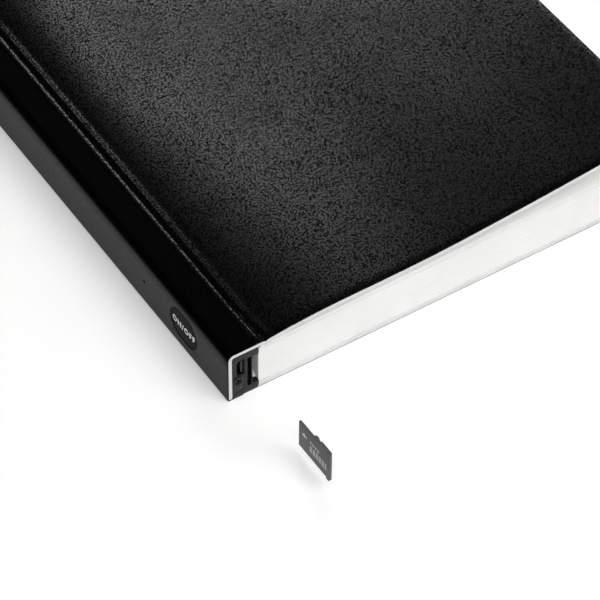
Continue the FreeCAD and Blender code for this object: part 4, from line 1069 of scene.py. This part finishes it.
card_mark("card_arrow", white_ink, [[(1.6, 6.3), (2.9, 5.4), (2.9, 7.2)], bar(2.9, 6.1, 1.1, 0.4)])
wide_bars = [bar(5.4 + 1.45 * i, 2.6, 1.05, 2.4) for i in range(6)]
small_bars = [bar(5.4 + 1.2 * i, 5.9, 0.8, 1.0) for i in range(4)]
card_mark("card_bars", card_ink, wide_bars + small_bars)

# %% [markdown]
# ## Finishes for the pieces that stay
#
# The rest of the module keeps its construction shape. Each gets the finish of its real stuff:
# pressed steel, gold plate, lacquered circuit board, amber film, pouch foil, moulded chips, glass.

# %% Metals
def brushed(name, chart, line_mm, relief, roughness):
    """Rolled or plated metal: bare base colour, fine lines along the rolling direction."""
    material, tree, shader = start_finish(name, {"Metallic": 1.0, "Base Color": colour(chart)})
    where = add(tree, "ShaderNodeTexCoord").outputs["Object"]
    drawn = add(tree, "ShaderNodeMapping", {"Vector": where, "Scale": (1.0, 0.08, 1.0)})
    lines = add(tree, "ShaderNodeTexNoise", {"Vector": drawn.outputs["Vector"], "Scale": 1 / (line_mm * MM), "Detail": 3.0})
    tree.links.new(value_between(tree, lines.outputs["Fac"], 0.3, 0.7, *roughness), shader.inputs["Roughness"])
    bump = add(tree, "ShaderNodeBump", {"Height": lines.outputs["Fac"], "Distance": relief * MM})
    tree.links.new(bump.outputs["Normal"], shader.inputs["Normal"])
    return material


steel = brushed("Nickel plated pressed steel", "#c9c9ca", 0.12, 0.002, (0.22, 0.34))
# Dark grey steel for the port shell, much darker than the nickel plate.
dark_port_steel = brushed("Dark grey steel of the port", "#2b2b2d", 0.12, 0.002, (0.35, 0.5))
gold = brushed("Hard gold plate", "#e3c078", 0.1, 0.001, (0.18, 0.28))


# %% Circuit board, film and foil
def lacquered_board():
    """Solder mask over copper: green lacquer, tracks standing slightly proud on a 0.4 mm raster."""
    material, tree, shader = start_finish("Solder mask on fibre glass", {"IOR": 1.5, "Coat Weight": 0.4, "Coat Roughness": 0.15})
    where = add(tree, "ShaderNodeTexCoord").outputs["Object"]
    turned = add(tree, "ShaderNodeMapping", {"Vector": where, "Rotation": (0, math.radians(90), 0)})
    tracks = add(
        tree,
        "ShaderNodeTexBrick",
        {"Vector": turned.outputs["Vector"], "Scale": 1 / (4.0 * MM), "Mortar Size": 0.05, "Brick Width": 0.9, "Row Height": 0.2},
    )
    tone = ramp_between(tree, tracks.outputs["Fac"], 0, 1, "#0f4a29", "#1d6a3d")
    tree.links.new(tone, shader.inputs["Base Color"])
    tree.links.new(value_between(tree, tracks.outputs["Fac"], 0, 1, 0.32, 0.4), shader.inputs["Roughness"])
    bump = add(tree, "ShaderNodeBump", {"Height": tracks.outputs["Fac"], "Distance": 0.03 * MM})
    tree.links.new(bump.outputs["Normal"], shader.inputs["Normal"])
    return material


def clear_glass():
    """Ground and coated lens glass: clear, smooth, with a breath of dust in its roughness."""
    sockets = {"IOR": 1.52, "Transmission Weight": 1.0, "Base Color": colour("#f2f7f8")}
    material, tree, shader = start_finish("Coated lens glass", sockets)
    where = add(tree, "ShaderNodeTexCoord").outputs["Object"]
    dust = add(tree, "ShaderNodeTexNoise", {"Vector": where, "Scale": 1 / (0.3 * MM), "Detail": 2.0})
    tree.links.new(value_between(tree, dust.outputs["Fac"], 0.4, 0.7, 0.01, 0.04), shader.inputs["Roughness"])
    return material


finishes = {
    "black_plastic": housing_plastic,
    "button_plastic": button_plastic,
    "card_plastic": card_plastic,
    "dark_parts": grained("Moulded chip resin", ("#121213", "#1d1d1e"), 0.12, 0.006, (0.5, 0.62)),
    "steel": steel,
    "gold_contacts": gold,
    "circuit_board": lacquered_board(),
    "flex_film": grained("Amber polyimide film", ("#b06a1c", "#c98230"), 0.5, 0.004, (0.3, 0.4), {"IOR": 1.6}),
    "battery_foil": brushed("Aluminium pouch laminate", "#c4c5c7", 0.6, 0.01, (0.3, 0.45)),
    "foam_tape": grained("Closed cell foam tape", ("#2b2b2c", "#3a3a3b"), 0.25, 0.04, (0.85, 0.95)),
    "clear_glass": clear_glass(),
    "lamp_plastic": grained("Milky lamp epoxy", ("#d8dadd", "#e8eaec"), 0.3, 0.004, (0.25, 0.35), {"Subsurface Weight": 0.2}),
    "paper": paper,
    "white_core": core_finish,
    "black_leather": grained_skin,
    "binding_glue": binding_glue,
}

smoked = grained("Smoked light pipe resin", ("#101012", "#19191b"), 0.3, 0.003, (0.12, 0.2), {"IOR": 1.55})
own_finishes = {"charging_port_shell": dark_port_steel, "indicator_light_pipe": smoked}

# %% Dress the construction pieces that show
for part in frame["record"]["subparts"]:
    if part["node"] in nodes:
        skin_of_node = nodes[part["node"]].data
        skin_of_node.materials.clear()
        skin_of_node.materials.append(own_finishes.get(part["node"], finishes[part["material_slot"]]))
print(f"{len(finishes) + len(own_finishes)} finishes")
